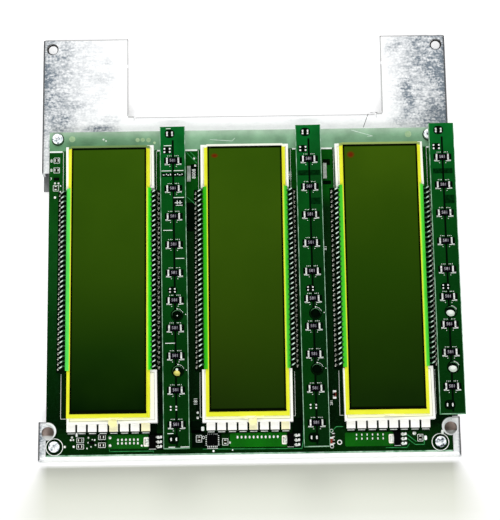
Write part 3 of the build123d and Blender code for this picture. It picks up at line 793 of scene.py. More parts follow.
def polariserFinish(index):
    finish = Finish("darkPolariser%d" % (index + 1), roughness=0.12, specular=0.007)
    # olive above to nearly black below: a painted reflection
    base = finish.along("Y", film["tones"][index])
    cloud = finish.noise(22.0, 3.0)
    base = finish.mix(finish.times(finish.fade(cloud, 0.4, 0.7), 0.3), base, colour(*film["cloud"]))
    wide, high = film["half"]
    rim = film["rim"]
    side = finish.fade(finish.away("X", moduleX[index]), (wide - rim) * mm, (wide - rim + 0.35) * mm)
    end = finish.fade(finish.away("Y", pinsY), (high - rim - 0.4) * mm, (high - rim) * mm)
    base = finish.mix(finish.calc("MAXIMUM", side, end), base, colour(*film["black"]))
    if film["ink"][index]:
        x, y, wide, high = film["ink"][index]
        base = finish.mix(finish.spot(x, y, wide, high, 0.1), base, colour(*film["red"]))
    finish.paint(base)
    finish.gloss(cloud, 0.08, 0.16)
    return finish


for index in range(3):
    dressNodes(polariserFinish(index), "polariser_%d" % (index + 1))
    dressNodes(glassFinish(index), "front_glass_%d" % (index + 1), "rear_glass_%d" % (index + 1))
print("CAD nodes dressed")


# Edge pins: each leaves the resin level, bends over at a slant and drops into its solder
pinRow = {
    "count": 36,
    "first": 20.15,
    "last": -68.75,
    "width": 0.62,
    "thick": 0.3,
    "shift": [-0.45, -0.1, 0.4],
    "path": [(20.9, -0.55, 12.9), (22.1, -0.5, 12.95), (23.7, 0.5, 12.75), (23.95, 0.5, 12.2),
             (24.9, 0.1, 6.9), (25.1, 0.0, 6.15)],
    "drops": [(25.2, 0.3, 0.42), (24.95, -0.45, 0.36)],
    "shade": (24.0, 4.0, 93.0),
    "dull": (14, 20, 10),
    # painted highlight on the bend and painted shade on the way down
    "tones": [(20.9, (2, 84, 30)), (22.1, (3, 56, 26)), (22.4, (170, 215, 186)), (23.0, (232, 248, 238)),
              (23.6, (206, 222, 208)), (23.85, (12, 22, 10)), (24.4, (10, 18, 8)), (24.6, (200, 200, 186)),
              (25.1, (246, 246, 236)), (25.6, (214, 214, 200)), (26.4, (150, 152, 140))],
}


def pinFinish(index):
    # dark at the resin, a painted highlight on the slanted bend, painted shade on the way down and mottled at
    # the solder
    finish = Finish("pinTin%d" % (index + 1), roughness=0.35, metallic=0.1, specular=0.3)
    tone = finish.noise(620.0, 3.0)
    base = finish.along(finish.away("X", moduleX[index] + pinRow["shift"][index]), pinRow["tones"])
    base = finish.mix(finish.fade(tone, 0.36, 0.5), finish.mix(0.7, base, colour(*pinRow["dull"])), base)
    finish.paint(base)
    finish.gloss(tone, 0.28, 0.42)
    finish.relief(tone, 0.2, 0.00005)
    return finish


def bentStrip(width, thick, path):
    # a strip that is extruded along a path of x, y, z and turned about y at each point
    clearSelection()
    headings = []
    for first, second in zip(path, path[1:]):
        headings.append(math.atan2(second[2] - first[2], second[0] - first[0]))
    headings.append(headings[-1])
    start = [value * mm for value in path[0]]
    bpy.ops.mesh.primitive_plane_add(size=1, location=start, rotation=(0, math.radians(90), 0))
    piece = bpy.context.active_object
    piece.scale = (thick * mm, width * mm, 1)
    settle(piece)
    bpy.ops.object.mode_set(mode="EDIT")
    bpy.ops.mesh.select_all(action="SELECT")
    facing = 0.0
    for index in range(1, len(path)):
        step = [(new - old) * mm for old, new in zip(path[index - 1], path[index])]
        bpy.ops.mesh.extrude_region_move(TRANSFORM_OT_translate={"value": step})
        wanted = (headings[index - 1] + headings[index]) / 2
        pivot = [value * mm for value in path[index]]
        bpy.ops.transform.rotate(value=wanted - facing, orient_axis="Y", center_override=pivot)
        facing = wanted
    bpy.ops.mesh.select_all(action="SELECT")
    bpy.ops.mesh.normals_make_consistent(inside=False)
    bpy.ops.object.mode_set(mode="OBJECT")
    return piece


def makePins():
    pieces = [bentStrip(pinRow["width"], pinRow["thick"], pinRow["path"])]
    for x, y, radius in pinRow["drops"]:
        pieces.append(dome(radius, radius * 0.9, (x, y, level["board"]), 8, 2))
    model = merge(pieces, "pinModel")
    pitch = (pinRow["first"] - pinRow["last"]) / (pinRow["count"] - 1)
    for index, middle in enumerate(moduleX):
        x = middle + pinRow["shift"][index]
        places = []
        for k in range(pinRow["count"]):
            y = pinRow["first"] - k * pitch
            places.append((x, y, 0, 0))
            places.append((x, y, 0, 180))
        pins = repeat(model, "bent_pins_%d" % (index + 1), places, keep=True)
        put(pins, pinFinish(index))
        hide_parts("edge_pins_%d" % (index + 1))
    bpy.data.objects.remove(model)


makePins()
print("pins bent and soldered")


# Screws: pan heads with a cross, with a painted dark reflection on their slopes
screwHead = {
    "places": [(-96.0, -107.4, 20), (-96.0, 49.6, 65), (94.0, -107.4, 40), (94.0, 49.6, 0)],
    "radius": 2.7,
    "shoulder": 0.75,
    "steps": [(0.35, 0.45), (0.55, 0.4), (0.6, 0.22)],
    "slot": (2.6, 0.6, 0.6),
    "tones": [(0.36, (60, 66, 70)), (0.45, (216, 226, 232)), (0.6, (254, 255, 255))],
    "slopeReflection": (22, 24, 26),
}


def screwFinish():
    finish = Finish("screwSteel", roughness=0.3, metallic=0.45)
    tone = finish.noise(700.0, 4.0)
    bright = finish.ramp(tone, [(where, colour(*shade)) for where, shade in screwHead["tones"]])
    flat = finish.fade(finish.facing("Z"), 0.72, 0.9)
    # a painted dark reflection on the slopes
    finish.paint(finish.mix(flat, colour(*screwHead["slopeReflection"]), bright))
    finish.gloss(tone, 0.2, 0.34)
    finish.relief(tone, 0.2, 0.00005)
    return finish


def makeScrews():
    row = screwHead
    shoulder = row["shoulder"]
    head = disc(row["radius"], shoulder, (0, 0, level["board"] + shoulder / 2))
    head.data.polygons.foreach_set("select", [face.normal.z > 0.9 for face in head.data.polygons])
    bpy.ops.object.mode_set(mode="EDIT")
    bpy.ops.mesh.select_mode(type="FACE")
    for inward, rise in row["steps"]:
        bpy.ops.mesh.inset(thickness=inward * mm)
        bpy.ops.transform.translate(value=(0, 0, rise * mm))
    bpy.ops.object.mode_set(mode="OBJECT")
    top = level["board"] + shoulder + sum(rise for inward, rise in row["steps"])
    length, width, deep = row["slot"]
    for turn in (0, 90):
        cutter = block((length, width, deep + 1), (0, 0, top - deep), turn)
        only(head)
        modifier = head.modifiers.new("cross", "BOOLEAN")
        modifier.operation = "DIFFERENCE"
        modifier.solver = "EXACT"
        modifier.object = cutter
        bpy.ops.object.modifier_apply(modifier="cross")
        bpy.data.objects.remove(cutter)
    bpy.ops.object.shade_smooth_by_angle(angle=math.radians(35))
    places = [(x, y, 0, turn) for x, y, turn in row["places"]]
    screws = put(repeat(head, "pan_head_screws", places), screwFinish())
    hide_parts("board_screws")


makeScrews()
print("screws made")


# Marks on the main board: printed module outlines and rings at the screws, painted shadows round the screws
# and painted shade under the pins
boardPrint = {
    "line": 0.16,
    "outline": [(-93.1, -45.6), (-24.1, 22.9), (44.9, 92.5)],
    "parts": [(22.4, 43.0), (-93.6, -71.4)],
    "bottom": -93.6,
    "corner": 4.4,
    "shadow": {"radius": 3.2, "width": 0.45},
    "ring": {"radius": 4.3, "width": 0.32, "places": [(-96.0, -107.4), (94.0, -107.4)]},
}


def onBoard(name, rows, finish, thick=0.03, corner=0.0):
    # flat marks that lie on the main board
    return put(printed(name, rows, level["board"], thick, corner), finish)


def ringsOnBoard(name, rows, finish, thick=0.03):
    return put(rings(name, rows, level["board"], thick), finish)


def makeBoardPrint():
    rows = []
    line, corner = boardPrint["line"], boardPrint["corner"]
    for left, right in boardPrint["outline"]:
        for low, high in boardPrint["parts"]:
            for x in (left, right):
                rows.append((x, (low + high) / 2, line, high - low))
        for x in (left + corner / 2, right - corner / 2):
            rows.append((x, boardPrint["bottom"], corner, line))
    onBoard("module_outlines", rows, silk)
    shadow, ring = boardPrint["shadow"], boardPrint["ring"]
    # painted shadows round the screws
    dark = [(x, y, shadow["radius"], shadow["width"]) for x, y, turn in screwHead["places"]]
    ringsOnBoard("screw_shadows", dark, shadeMask, 0.02)
    ringsOnBoard("screw_rings", [(x, y, ring["radius"], ring["width"]) for x, y in ring["places"]], silk)


def makePinShade():
    away, wide, high = pinRow["shade"]
    rows = []
    for index, middle in enumerate(moduleX):
        for side in (-away, away):
            rows.append((middle + pinRow["shift"][index] + side, pinsY, wide, high))
    shade = plain("pinShade", (2, 10, 3), (9, 24, 10), 420, 0.6, specular=0.004)
    onBoard("pin_shade", rows, shade, 0.012)


shadeMask = plain("shadeMask", (1, 8, 3), (10, 26, 14), 500, 0.5, specular=0.004)
makeBoardPrint()
makePinShade()
print("board printed")


# Pale spots, two small white marks and scratches on the bare band
bandMarks = {
    "spots": [(-88.7, 49.8, 1.6), (-55.2, 48.9, 1.1), (-52.6, 48.9, 1.1), (-49.6, 48.8, 1.2),
              (-46.5, 47.3, 0.7), (83.5, 50.1, 1.7)],
    "white": [(-72.7, 49.4, 0.5), (-71.4, 48.6, 0.45)],
    "scratches": [(-18.1, 48.6, -6.8, 47.7), (-6.8, 47.7, -5.3, 49.3), (54.5, 52.6, 65.4, 49.3),
                  (62.6, 49.2, 65.4, 49.3)],
    "scratchWidth": 0.28,
}


def stroke(x0, y0, x1, y1, width):
    # a row for one straight line between two places
    turn = math.degrees(math.atan2(y1 - y0, x1 - x0))
    return ((x0 + x1) / 2, (y0 + y1) / 2, math.hypot(x1 - x0, y1 - y0), width, turn)


def makeBandMarks():
    drop = dome(0.5, 0.03, sides=14, rings=2)
    for name, key, finish in (("band_spots", "spots", spotFinish), ("band_marks", "white", silk)):
        places = [(x, y, level["board"], 0, 2 * radius) for x, y, radius in bandMarks[key]]
        put(repeat(drop, name, places, keep=True), finish)
    bpy.data.objects.remove(drop)
    lines = [stroke(*ends, bandMarks["scratchWidth"]) for ends in bandMarks["scratches"]]
    onBoard("band_scratches", lines, scratchFinish, 0.02)


# Copper, solder and printed marks around the parts on the main board, and dark patches that are partly
# painted shade
boardMarks = {
    "pours": [(-59.75, -105.15, 20.1, 6.9), (4.6, -105.1, 28.4, 7.0), (59.05, -105.6, 23.9, 6.8)],
    "traces": [(-58.0, -109.9, 22.0, 0.3), (-47.3, -110.1, 0.3, 0.9), (-68.9, -109.4, 0.3, 1.2)],
    "paleEdge": [(0.0, -111.7, 200.0, 0.6)],
    "gapShades": {"first": -16.135, "step": 5.27, "count": 7, "y": -101.3, "size": (1.7, 1.2)},
    "brown": {"places": [(42.5, -83.3), (40.6, -106.3)], "size": (1.5, 2.2, 0.6), "end": (1.7, 0.9),
              "reach": 1.6},
    "shadeAndDarkPatches": [(-47.6, -99.6, 4.2, 7.0), (-44.3, -105.3, 4.6, 8.2), (23.9, -98.0, 5.4, 7.0),
                    (24.0, -105.4, 5.2, 8.4), (-18.2, -105.3, 9.0, 8.8), (72.6, -100.6, 4.0, 4.0),
                    (-25.8, -98.4, 6.0, 6.0), (-83.0, -105.7, 3.2, 6.4), (-72.6, -104.8, 3.2, 6.6),
                    (41.2, 35.8, 3.8, 3.2), (41.3, 25.1, 4.2, 2.0), (-28.6, 8.0, 4.4, 15.0),
                    (-24.7, -88.0, 3.2, 7.0), (-26.4, 32.4, 3.4, 6.5), (-25.3, -104.3, 6.0, 8.6),
                    (-43.4, -84.0, 1.8, 16.0), (35.4, -96.2, 3.6, 3.6)],
    "pathWidth": 0.32,
    "paths": [
        [(77.7, -105.4), (81.6, -108.5), (86.0, -108.5), (86.1, -105.0)],
        [(77.7, -103.5), (82.2, -107.1)],
        [(67.1, -109.8), (77.5, -109.9), (78.7, -108.1)],
        [(-22.9, -109.3), (25.8, -109.7), (26.6, -105.5), (27.3, -75.9)],
        [(46.3, -99.2), (43.0, -99.2), (39.8, -102.2)],
        [(-30.0, 18.5), (-25.2, 14.0)], [(-30.2, 42.0), (-24.9, 36.2)], [(-28.4, 42.4), (-24.9, 38.6)],
    ],
    "edgeLine": [(-96.9, 43.1, 6.6, 0.8), (-34.9, 43.1, 20.6, 0.8), (34.1, 43.1, 20.4, 0.8),
                 (96.3, 43.1, 7.6, 0.8)],
    "joints": {
        "left": [(-64.7 + 1.96 * k, y, 0.95, 1.35) for k in range(6) for y in (-104.2, -105.95)],
        "middle": [(-5.8 + 1.98 * k, -103.7, 1.0, 1.5) for k in range(11)],
        "right": [(52.8 + 2.62 * k, y, 0.7, 1.25) for k in range(6) for y in (-103.3, -105.25)],
    },
    "pads": [(-90.9, -107.3, 1.3), (-86.5, -107.3, 1.2), (-88.0, -104.0, 1.0), (-86.7, -104.0, 1.0),
             (-87.4, -102.7, 1.2), (-97.3, 26.6, 1.1), (-95.5, 26.6, 1.1), (-94.5, 25.2, 0.8),
             (-94.5, 22.1, 0.8), (-97.2, 19.2, 1.3), (-26.3, 38.7, 1.2), (-25.8, 34.9, 1.2),
             (81.3, -102.9, 1.9), (-25.4, -91.3, 1.3), (-25.4, -93.9, 1.3), (-79.3, -103.0, 0.9),
             (-79.4, -105.4, 0.9), (-78.0, -107.4, 0.8), (-76.2, -104.1, 0.9), (-75.8, -106.6, 0.9),
             (-79.9, -108.2, 0.8), (-77.4, -103.9, 0.6), (88.4, -101.1, 1.0), (-9.6, -106.2, 1.2),
             (-17.7, -110.3, 1.2), (-8.3, -109.9, 0.8), (-68.6, -103.1, 1.5), (-68.6, -107.0, 1.5),
             (-53.0, -107.2, 1.1)],
    "ovals": [(-85.1, -101.5, 1.0, 2.0), (-22.9, -99.3, 1.5, 2.1), (86.8, -105.3, 1.3, 2.2),
              (95.2, -102.6, 1.2, 2.2)],
    "smallRings": [(-68.8, -103.1, 0.8, 0.25), (-68.6, -107.1, 0.8, 0.25), (44.4, -106.9, 1.2, 0.4),
                   (40.5, -101.2, 0.9, 0.25), (40.6, -108.9, 0.9, 0.25), (-22.6, -103.6, 0.7, 0.2)],
    "frameWidth": 0.2,
    "chipFrames": [(-83.3, -104.2, 3.4, 2.3), (-83.3, -107.3, 3.4, 2.3), (-72.6, -102.8, 3.4, 2.3),
                   (-72.6, -106.7, 3.4, 2.3), (-96.5, 38.6, 2.9, 2.7), (-96.5, 33.4, 2.9, 2.7),
                   (-96.8, 24.0, 2.7, 2.9), (-24.8, -104.2, 2.7, 3.3), (-11.9, -105.9, 2.7, 3.2),
                   (84.2, -105.2, 2.6, 3.3)],
    "ticks": [(-47.7, -109.0, 3.4, 0.3), (20.3, -108.75, 3.1, 0.35), (72.95, -108.85, 3.2, 0.35)],
}


def frameLines(rows, width):
    # four printed lines round each chip part
    lines = []
    for x, y, across, along in rows:
        for side in (-0.5, 0.5):
            lines.append((x + side * across, y, width, along))
            lines.append((x, y + side * along, across, width))
    return lines


def makeBoardMarks():
    row = boardMarks
    onBoard("pale_board_edge", row["paleEdge"], edgeFinish, 0.02)
    # dark patches: painted shade in the gaps between the holder's fingers, beside the strips and round the
    # regulators, partly dark board
    gapShades = row["gapShades"]
    patches = list(row["shadeAndDarkPatches"])
    for middle in moduleX:
        for index in range(gapShades["count"]):
            patches.append((middle + gapShades["first"] + index * gapShades["step"], gapShades["y"], *gapShades["size"]))
    onBoard("shade_and_dark_patches", patches, darkMask, 0.02)
    brown = row["brown"]
    bodies = [block(brown["size"], (x, y, level["board"]), 0, 0.2) for x, y in brown["places"]]
    put(merge(bodies, "brown_parts"), redCeramic)
    ends = [(x, y + side * brown["reach"], *brown["end"]) for x, y in brown["places"] for side in (-1, 1)]
    onBoard("brown_part_ends", ends, brightEnds, 0.3, 0.2)
    onBoard("copper_pours", row["pours"], pourFinish(), corner=0.8)
    traces = list(row["traces"])
    for path in row["paths"]:
        for first, second in zip(path, path[1:]):
            traces.append(stroke(*first, *second, row["pathWidth"]))
    onBoard("board_traces", traces, traceFinish)
    onBoard("bare_edge_line", row["edgeLine"], silk)
    low = level["board"] + 0.03  # the joints stand on the pours
    joints = []
    for group in row["joints"].values():
        joints += [(x, y, low, 0, (wide, high, 1)) for x, y, wide, high in group]
    put(repeat(dome(0.5, 0.35, sides=8, rings=2), "connector_joints", joints), brightEnds)
    pads = [(x, y, level["board"], 0, width) for x, y, width in row["pads"]]
    put(repeat(dome(0.5, 0.22, rings=2), "small_pads", pads), solder)
    onBoard("oval_marks", row["ovals"], silk, 0.05, 0.45)
    ringsOnBoard("small_rings", row["smallRings"], silk)
    onBoard("chip_frames", frameLines(row["chipFrames"], row["frameWidth"]), silk)
    onBoard("regulator_ticks", row["ticks"], silk)


# Regulators: cream pads round the tabs with two darker stripes, and three bright feet on the other side
regulatorPads = {
    "tabs": [(-50.75, -105.4, 2.6, 4.6), (17.3, -105.3, 2.5, 4.4), (69.95, -105.5, 2.6, 4.5)],
    "stripe": {"off": 0.55, "width": 0.55, "short": 1.5},
    "legs": [(-44.3, -105.5), (23.7, -105.5), (76.2, -105.6)],
    "downs": [-2.3, 0, 2.3],
    "foot": (-0.7, 0, 1.0, 1.5),
    "end": (0.75, 0.1, 1.1, 1.3),
    "leg": (0, -0.45, 0.02),
    "legSize": (1.7, 0.4, 0.3),
}


def makeRegulatorPads():
    row = regulatorPads
    onBoard("tab_pads", row["tabs"], creamPlastic, 0.06, 0.5)
    stripe = row["stripe"]
    stripes = []
    for x, y, wide, high in row["tabs"]:
        for side in (-stripe["off"], stripe["off"]):
            stripes.append((x + side, y, stripe["width"], high - stripe["short"]))
    put(printed("tab_stripes", stripes, level["board"] + 0.06, 0.02), stripeFinish)
    feet = []
    for x, y in row["legs"]:
        for down in row["downs"]:
            for right, up, wide, high in (row["foot"], row["end"]):
                at = (x + right, y + down + up, level["board"])
                feet.append(plate((wide, high, 0.05), at, corner=0.35))
            right, up, rise = row["leg"]
            at = (x + right, y + down + up, level["board"] + rise)
            feet.append(block(row["legSize"], at, 12, 0.1))
    put(merge(feet, "leg_pads"), brightEnds)


# Controller: short pads on its four sides and a line below it
controller = {
    "middle": (-18.2, -105.1),
    "count": 6,
    "pitch": 0.9,
    "first": -2.25,
    "reach": 3.05,
    "above": (0.4, 0.55),
    "below": (0.45, 0.8),
    "beside": (0.55, 0.35),
    "line": (-4.1, 5.4, 0.45),
}


def makeControllerPads():
    row = controller
    x, y = row["middle"]
    rows = []
    for index in range(row["count"]):
        off = row["first"] + index * row["pitch"]
        rows.append((x + off, y + row["reach"], *row["above"]))
        rows.append((x + off, y - row["reach"], *row["below"]))
        for side in (-row["reach"], row["reach"]):
            rows.append((x + side, y + off, *row["beside"]))
    down, wide, high = row["line"]
    rows.append((x, y + down, wide, high))
    onBoard("controller_pads", rows, silk)


# Plain numbers printed on the board and on the resistors
numbers = {
    "board": [("181", -26.3, -85.8, 1.9, 90), ("8008", -26.4, 30.6, 1.9, 90), ("81", 39.7, -9.0, 1.7, 90),
              ("8", -99.2, 38.3, 1.7, 0), ("8", -99.2, 33.4, 1.7, 0), ("7", -99.3, 28.8, 1.5, 0),
              ("1081", 22.6, 29.0, 1.7, 90), ("281", 40.9, -87.3, 1.3, 90)],
    "resistor": ("581", 1.55),
    "height": 1.35,
}


def numberMark(words, size, thick):
    # a flat number, made a mesh before it gets its place
    clearSelection()
    bpy.ops.object.text_add(location=(0, 0, 0))
    mark = bpy.context.active_object
    mark.data.body = words
    mark.data.size = size * numbers["height"] * mm
    mark.data.align_x = "CENTER"
    mark.data.align_y = "CENTER"
    mark.data.resolution_u = 2
    mark.data.extrude = thick * mm / 2
    bpy.ops.object.convert(target="MESH")
    mark = bpy.context.active_object
    mark.data.transform(Matrix.Translation((0, 0, thick * mm / 2)))
    return mark


def makeNumbers():
    marks = []
    for words, x, y, size, turn in numbers["board"]:
        marks.append(repeat(numberMark(words, size, 0.03), "mark", [(x, y, level["board"], turn)]))
    put(merge(marks, "board_numbers"), silk)


traceFinish = plain("traceMask", (20, 110, 44), (60, 156, 90), 400, 0.4, specular=0.1)
edgeFinish = plain("paleEdge", (60, 128, 84), (190, 222, 200), 260, 0.5, specular=0.1)
darkMask = plain("darkMask", (0, 6, 0), (0, 13, 3), 500, 0.5, specular=0.01)
spotFinish = plain("paleSpots", (158, 196, 148), (190, 216, 172), 500, 0.5, specular=0.1)
stripeFinish = plain("tabStripes", (78, 62, 40), (128, 110, 82), 500, 0.5, specular=0.1)
redCeramic = plain("redCeramic", (128, 36, 26), (176, 66, 48), 900, 0.4, specular=0.1)
barMask = plain("barMask", (0, 22, 4), (3, 50, 14), 1100, 0.5, specular=0.004)
scratchFinish = plain("scratches", (196, 228, 206), (240, 252, 244), 700, 0.5, specular=0.1)
makeBandMarks()
makeBoardMarks()
makeRegulatorPads()
makeControllerPads()
makeNumbers()
print("main board marked")


# Strips: what lies on them, as places across and down from the middle of each one's top end. A place
# with a negative way down is taken from the foot
stripMarks = {
    "resistorsDown": [17.8, 32.16, 46.52, 60.88, 75.24, 89.06, 102.87, 116.68, 133.49, 150.3],
    "edge": (6.2, 0.28),
    "foot": (12.0, 0.3),
    "middle": 0.15,
    "darkBars": [
        [(0, 25.0, 11.3, 2.2), (2.8, 39.4, 5.0, 4.0), (-2.7, 12.3, 4.3, 3.6)],
        [(0, 25.0, 11.0, 2.7), (-2.9, 12.5, 4.3, 3.8), (2.8, 39.6, 5.0, 3.4)],
        [(0, 25.0, 9.8, 2.6), (-2.9, 12.2, 3.6, 3.4), (2.8, 39.6, 5.0, 4.4)],
    ],
    "backs": [(-1.4, 3.7, 5.0, 4.4), (-1.4, -4.6, 5.4, 4.8), (-2.8, 12.3, 4.2, 3.6), (-1.0, 84.0, 4.8, 3.8)],
    "endShade": (9.0, 3.3),
    "path": {"width": 1.0, "first": (5.5, 1.6), "last": (-1.0, 0.2), "resistor": 1.6, "hole": 2.6},
    "round": [(2.9, 2.0, 2.6, 0.35), (3.55, 1.8, 1.3, 0.5), (1.6, 3.0, 0.35, 0.3),
              (1.0, -2.55, 0.3, 0.35), (1.7, -2.55, 0.3, 0.35), (2.6, -2.55, 0.3, 0.35)],
    "ticks": [
        [(-2.0, 1.0, 2.4, 0.3), (-2.5, 9.9, 3.8, 0.35), (-3.25, 23.0, 4.9, 0.3), (2.9, 23.0, 4.9, 0.3),
         (2.8, 36.9, 5.2, 0.3), (2.6, 39.6, 3.6, 0.3), (3.0, 40.9, 3.4, 0.25), (-2.9, 53.6, 4.5, 0.3),
         (2.9, 68.0, 4.3, 0.3), (-2.6, 110.4, 4.7, 0.3), (-2.9, 154.6, 2.9, 0.3), (-2.3, 161.2, 3.2, 0.35),
         (4.0, 161.2, 4.2, 0.35), (-4.6, 25.1, 0.8, 0.3), (-3.2, 24.8, 0.4, 0.5), (-2.3, 25.2, 0.7, 0.35),
         (-1.2, 24.9, 0.4, 0.8), (1.2, 25.1, 0.6, 0.4), (2.4, 24.8, 0.35, 0.7), (3.4, 25.2, 0.9, 0.3),
         (4.6, 24.9, 0.4, 0.5), (2.0, 39.4, 0.35, 1.8), (3.4, 39.4, 0.35, 1.8)],
        [],
        [],
    ],
}


def stripPlates(name, index, rows, low, thick):
    # printed shapes that turn with the strip
    turn = stripRows[index]["turn"]
    placed = []
    for across, down, width, height in rows:
        x, y = onStrip(index, across, down)
        placed.append((x, y, width, height, turn))
    return printed(name, placed, low, thick)


def resistorDowns(index):
    return stripMarks["resistorsDown"][:stripRows[index]["count"]]


def makeStripMarks(index):
    row = stripRows[index]
    length = row["length"]
    top = level["strip"]
    middle = stripMarks["middle"]
    downs = resistorDowns(index)

    def mark(name, rows, finish, low, thick):
        put(stripPlates(name % (index + 1), index, rows, low, thick), finish)

    # pale lines along the strips' long edges and across the foot, partly pale laminate and partly painted
    # highlight
    edge, width = stripMarks["edge"]
    foot, high = stripMarks["foot"]
    lines = [(side, length / 2, width, length - 0.4) for side in (-edge, edge)]
    mark("strip_edges_%d", lines + [(0, length - 0.25, foot, high)], edgeFinish, top, 0.02)
    mark("strip_bars_%d", stripMarks["darkBars"][index], shadeMask if index == 0 else barMask, top, 0.012)
    # dark plates under the resistors that show past their ends as painted shade, and a dark path between them
    # that stops at the holes
    dark = [(middle, down, *stripMarks["endShade"]) for down in downs]
    path = stripMarks["path"]
    down, clear = path["last"]
    stops = [path["first"], (length + down, clear)]
    stops += [(down, path["resistor"]) for down in downs]
    stops = sorted(stops + [(down, path["hole"]) for down in stripHoles["downs"]])
    for (first, after), (second, before) in zip(stops, stops[1:]):
        low, high = first + after, second - before
        dark.append((middle, (low + high) / 2, path["width"], high - low))
    plates = [stripPlates("dark", index, dark, top, 0.015)]
    for across, down, wide, high in stripMarks["backs"]:
        x, y = onStrip(index, across, down if down > 0 else length + down)
        plates.append(plate((wide, high, 0.018), (x, y, top), corner=1.9))
    put(merge(plates, "strip_dark_%d" % (index + 1)), darkMask)
    white = list(stripMarks["ticks"][index])
    for down in downs:
        for across, lower, wide, high in stripMarks["round"]:
            white += [(middle + side * across, down + lower, wide, high) for side in (-1, 1)]
    mark("strip_print_%d", white, silk, top + 0.018, 0.02)


# Holes: a dark ring round each, and a washer under it with what shows through
stripHoles = {
    "across": 1.1,
    "downs": [96.46, 124.08],
    "ring": (3.2, 0.62),
    "washer": (3.1, 0.3),
    "under": 16.75,
    "arcTurns": [28, 44, 60, 76],
    "arcs": [(3.1, 0.13), (3.1, 0.13), (2.8, 0.22)],
    "marks": [(4.3, 0.3, 0.4, 0.4), (0.1, 3.1, 0.5, 0.5)],
    "pale": (-0.15, -0.7, (4.4, 3.4, 1)),
    "yellow": (-0.65, -1.15, 3.3),
    "dots": [(1, -0.55, 0.95, 1.3), (0, 0, 0, 0.6)],
}


def makeStripHoles():
    row = stripHoles
    high = row["under"] + 0.15
    rims, washers, pale, arcs = [], [], [], []
    for index in range(3):
        for down in row["downs"]:
            x, y = onStrip(index, row["across"], down)
            rims.append((x, y, *row["ring"]))
            washers.append(disc(*row["washer"], (x, y, row["under"])))
            out, thick = row["arcs"][index]
            for turn in row["arcTurns"]:
                angle = math.radians(turn)
                arcs.append((x + out * math.cos(angle), y + out * math.sin(angle), 0.9, thick, turn + 90))
            if index == 2:
                right, up, size = row["pale"]
                pale.append((x + right, y + up, high, 0, size))
            else:
                arcs += [(x + right, y + up, wide, tall) for right, up, wide, tall in row["marks"]]
    spot = dome(0.5, 0.1, sides=24, rings=2)
    put(repeat(spot, "pale_washers", pale, keep=True), whitePlastic)
    put(rings("hole_rims", rims, level["strip"], 0.02), darkMask)
    put(ease(merge(washers, "hole_washers"), 0.05), darkMask)
    places = [onStrip(0, row["across"], down) for down in row["downs"]]
    right, up, size = row["yellow"]
    x, y = places[1]
    yellow = repeat(spot, "yellow_dot", [(x + right, y + up, high, 0, size)], keep=True)
    put(yellow, dotFinish)
    dots = []
    for index, right, up, size in row["dots"]:
        x, y = places[index]
        dots.append((x + right, y + up, high, 0, size))
    put(repeat(spot, "hole_dots", dots), silk)
    put(printed("hole_arcs", arcs, level["strip"] + 0.02, 0.02), silk)


# Bright pads at the headers and at the small parts: places across, places down, size and on how many strips
stripJoints = [
    ((-2.67, -0.13), (2.95, 4.45), 0.9, 3),
    ((-2.57, -0.03), (-5.05, -4.15), 0.75, 3),
    ((-4.1, -1.4), (11.5, 13.2), 0.95, 3),
    ((-2.6, 0.1), (-20.4, -18.9), 0.85, 2),
    ((-2.2, 0.2), (83.3, 84.8), 0.8, 3),
]


def makeStripJoints():
    places = []
    for rights, downs, size, count in stripJoints:
        for index in range(count):
            for across in rights:
                for down in downs:
                    x, y = onStrip(index, across, down if down > 0 else stripRows[index]["length"] + down)
                    places.append((x, y, level["strip"], 0, size))
    put(repeat(dome(0.55, 0.4, rings=2), "strip_joints", places), brightEnds)


def makeResistorNumbers():
    mark = numberMark(*numbers["resistor"], 0.02)
    for name, ink, indexes in (("resistor_numbers", numberInk, (0, 1)), ("clear_numbers", brightInk, (2,))):
        places = []
        for index in indexes:
            for down in resistorDowns(index):
                x, y = onStrip(index, 0, down)
                places.append((x, y, level["resistor"], stripRows[index]["turn"]))
        put(repeat(mark, name, places, keep=True), ink)
    bpy.data.objects.remove(mark)


numberInk = plain("numberInk", (116, 112, 124), (190, 188, 196), 600, 0.6, specular=0.1)
brightInk = plain("brightInk", (130, 126, 136), (196, 194, 200), 600, 0.6, specular=0.1)
dotFinish = plain("yellowDot", (236, 222, 110), (250, 240, 136), 500, 0.4, specular=0.2)
for index in range(3):
    makeStripMarks(index)
makeStripHoles()
makeStripJoints()
makeResistorNumbers()
print("strips marked")


# The sheet's own marks: scribed lines, lips in the notches painted grey as shade, liners of painted shade in
# the upper holes, and discs under the lower ones painted with a shadow and a lit patch
sheetMarks = {
    "scribeWidth": 0.28,
    "scribes": [(63.8, 62.9, 61.0, 55.3), (64.7, 63.1, 66.6, 63.0), (67.2, 63.4, 68.6, 63.2)],
    "lips": [((4.4, 11.0, 0.9), (-102.55, 30.9, -7.4)), ((3.6, 6.0, 0.9), (103.0, -92.2, -7.4))],
    "backs": [(-100, -100, -0.35), (100, -100, -0.35)],
    "backSize": (3.7, 0.6),
    "shadowTones": [(132, 112, 104), (176, 158, 150)],
    "litWhite": (254, 254, 252),
    "backSplit": (-101.6, -100.9),
    "shadeLiners": [(-99.75, 99.75, 3.05, 0.75), (100.0, 99.7, 3.05, 0.75)],
}


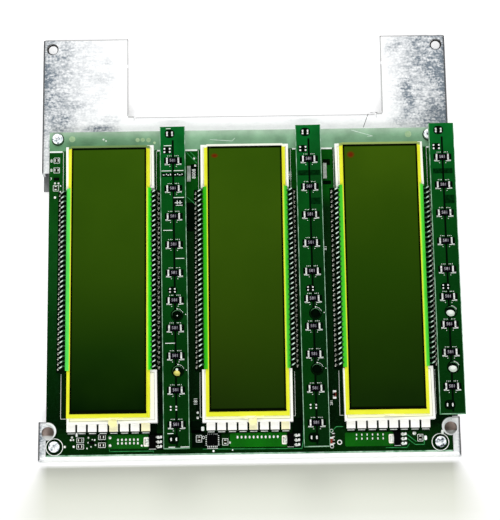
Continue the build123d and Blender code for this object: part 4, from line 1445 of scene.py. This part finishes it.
def makeSheetMarks():
    row = sheetMarks
    lines = [stroke(*ends, row["scribeWidth"]) for ends in row["scribes"]]
    put(printed("scribe_lines", lines, level["sheet"], 0.02), darkSheet)
    # lips at the feet of the notches, their grey painted as shade
    lips = [block(size, at, 0, 0.3, 2) for size, at in row["lips"]]
    put(merge(lips, "notch_lips"), shadeSheet)
    # discs under the lower corner holes, painted with a shadow and a lit patch
    backs = merge([disc(*row["backSize"], at) for at in row["backs"]], "corner_shadow_discs")
    put(ease(backs, 0.1), shadowDiscFinish())
    # dark liners in the upper holes: painted shade
    put(rings("hole_shade_liners", row["shadeLiners"], 0.4, 0.5), darkSheet)


def shadowDiscFinish():
    # what shows through the lower corner holes: a painted shadow in the upper part and a painted lit patch
    # below
    finish = Finish("cornerShadowDiscs", roughness=0.5, specular=0.1)
    tone = finish.noise(300.0, 3.0)
    brown = finish.cloudy(tone, *sheetMarks["shadowTones"])
    upper = finish.rise("Y", *sheetMarks["backSplit"])
    finish.paint(finish.mix(upper, colour(*sheetMarks["litWhite"]), brown))
    finish.gloss(tone, 0.42, 0.58)
    return finish


def makeFilmRims():
    # the polarisers' black edge laps a little over the glass beside and below them
    rows = []
    wide, high = film["half"]
    lap = film["lap"]
    for middle, more in zip(moduleX, film["below"]):
        low = pinsY - high - more / 2 + lap["over"]
        rows.append((middle, low, 2 * (wide + lap["out"]), more + 2 * lap["over"]))
        for side in (-wide, wide):
            rows.append((middle + side, pinsY - more / 2, lap["side"], 2 * high + more))
    put(printed("film_rims", rows, level["glass"], lap["thick"]), darkFilm)


# Seal that ran below the modules and over one finger of each
seal = {
    "drips": [(-67.6, -94.2, 12.0, 2.0), (-66.9, -96.3, 4.4, 4.8), (1.4, -94.2, 12.0, 2.2),
              (1.8, -96.3, 4.2, 4.8), (71.0, -94.2, 10.0, 1.6)],
}


def makeSealStreak():
    drips = [(x, y, level["ledge"], 0, (wide, high, 1)) for x, y, wide, high in seal["drips"]]
    put(repeat(dome(0.5, 0.25, sides=16), "seal_streak", drips), sealFinish)


darkSheet = plain("darkSheet", (18, 18, 18), (60, 58, 56), 500, 0.5, specular=0.07)
shadeSheet = plain("shadeSheet", (104, 106, 106), (128, 130, 130), 200, 0.5, specular=0.3)
darkFilm = plain("darkFilm", (2, 8, 0), (5, 13, 0), 300, 0.3, specular=0.017)
makeSheetMarks()
makeFilmRims()
makeSealStreak()
print("small marks made")


print("done")
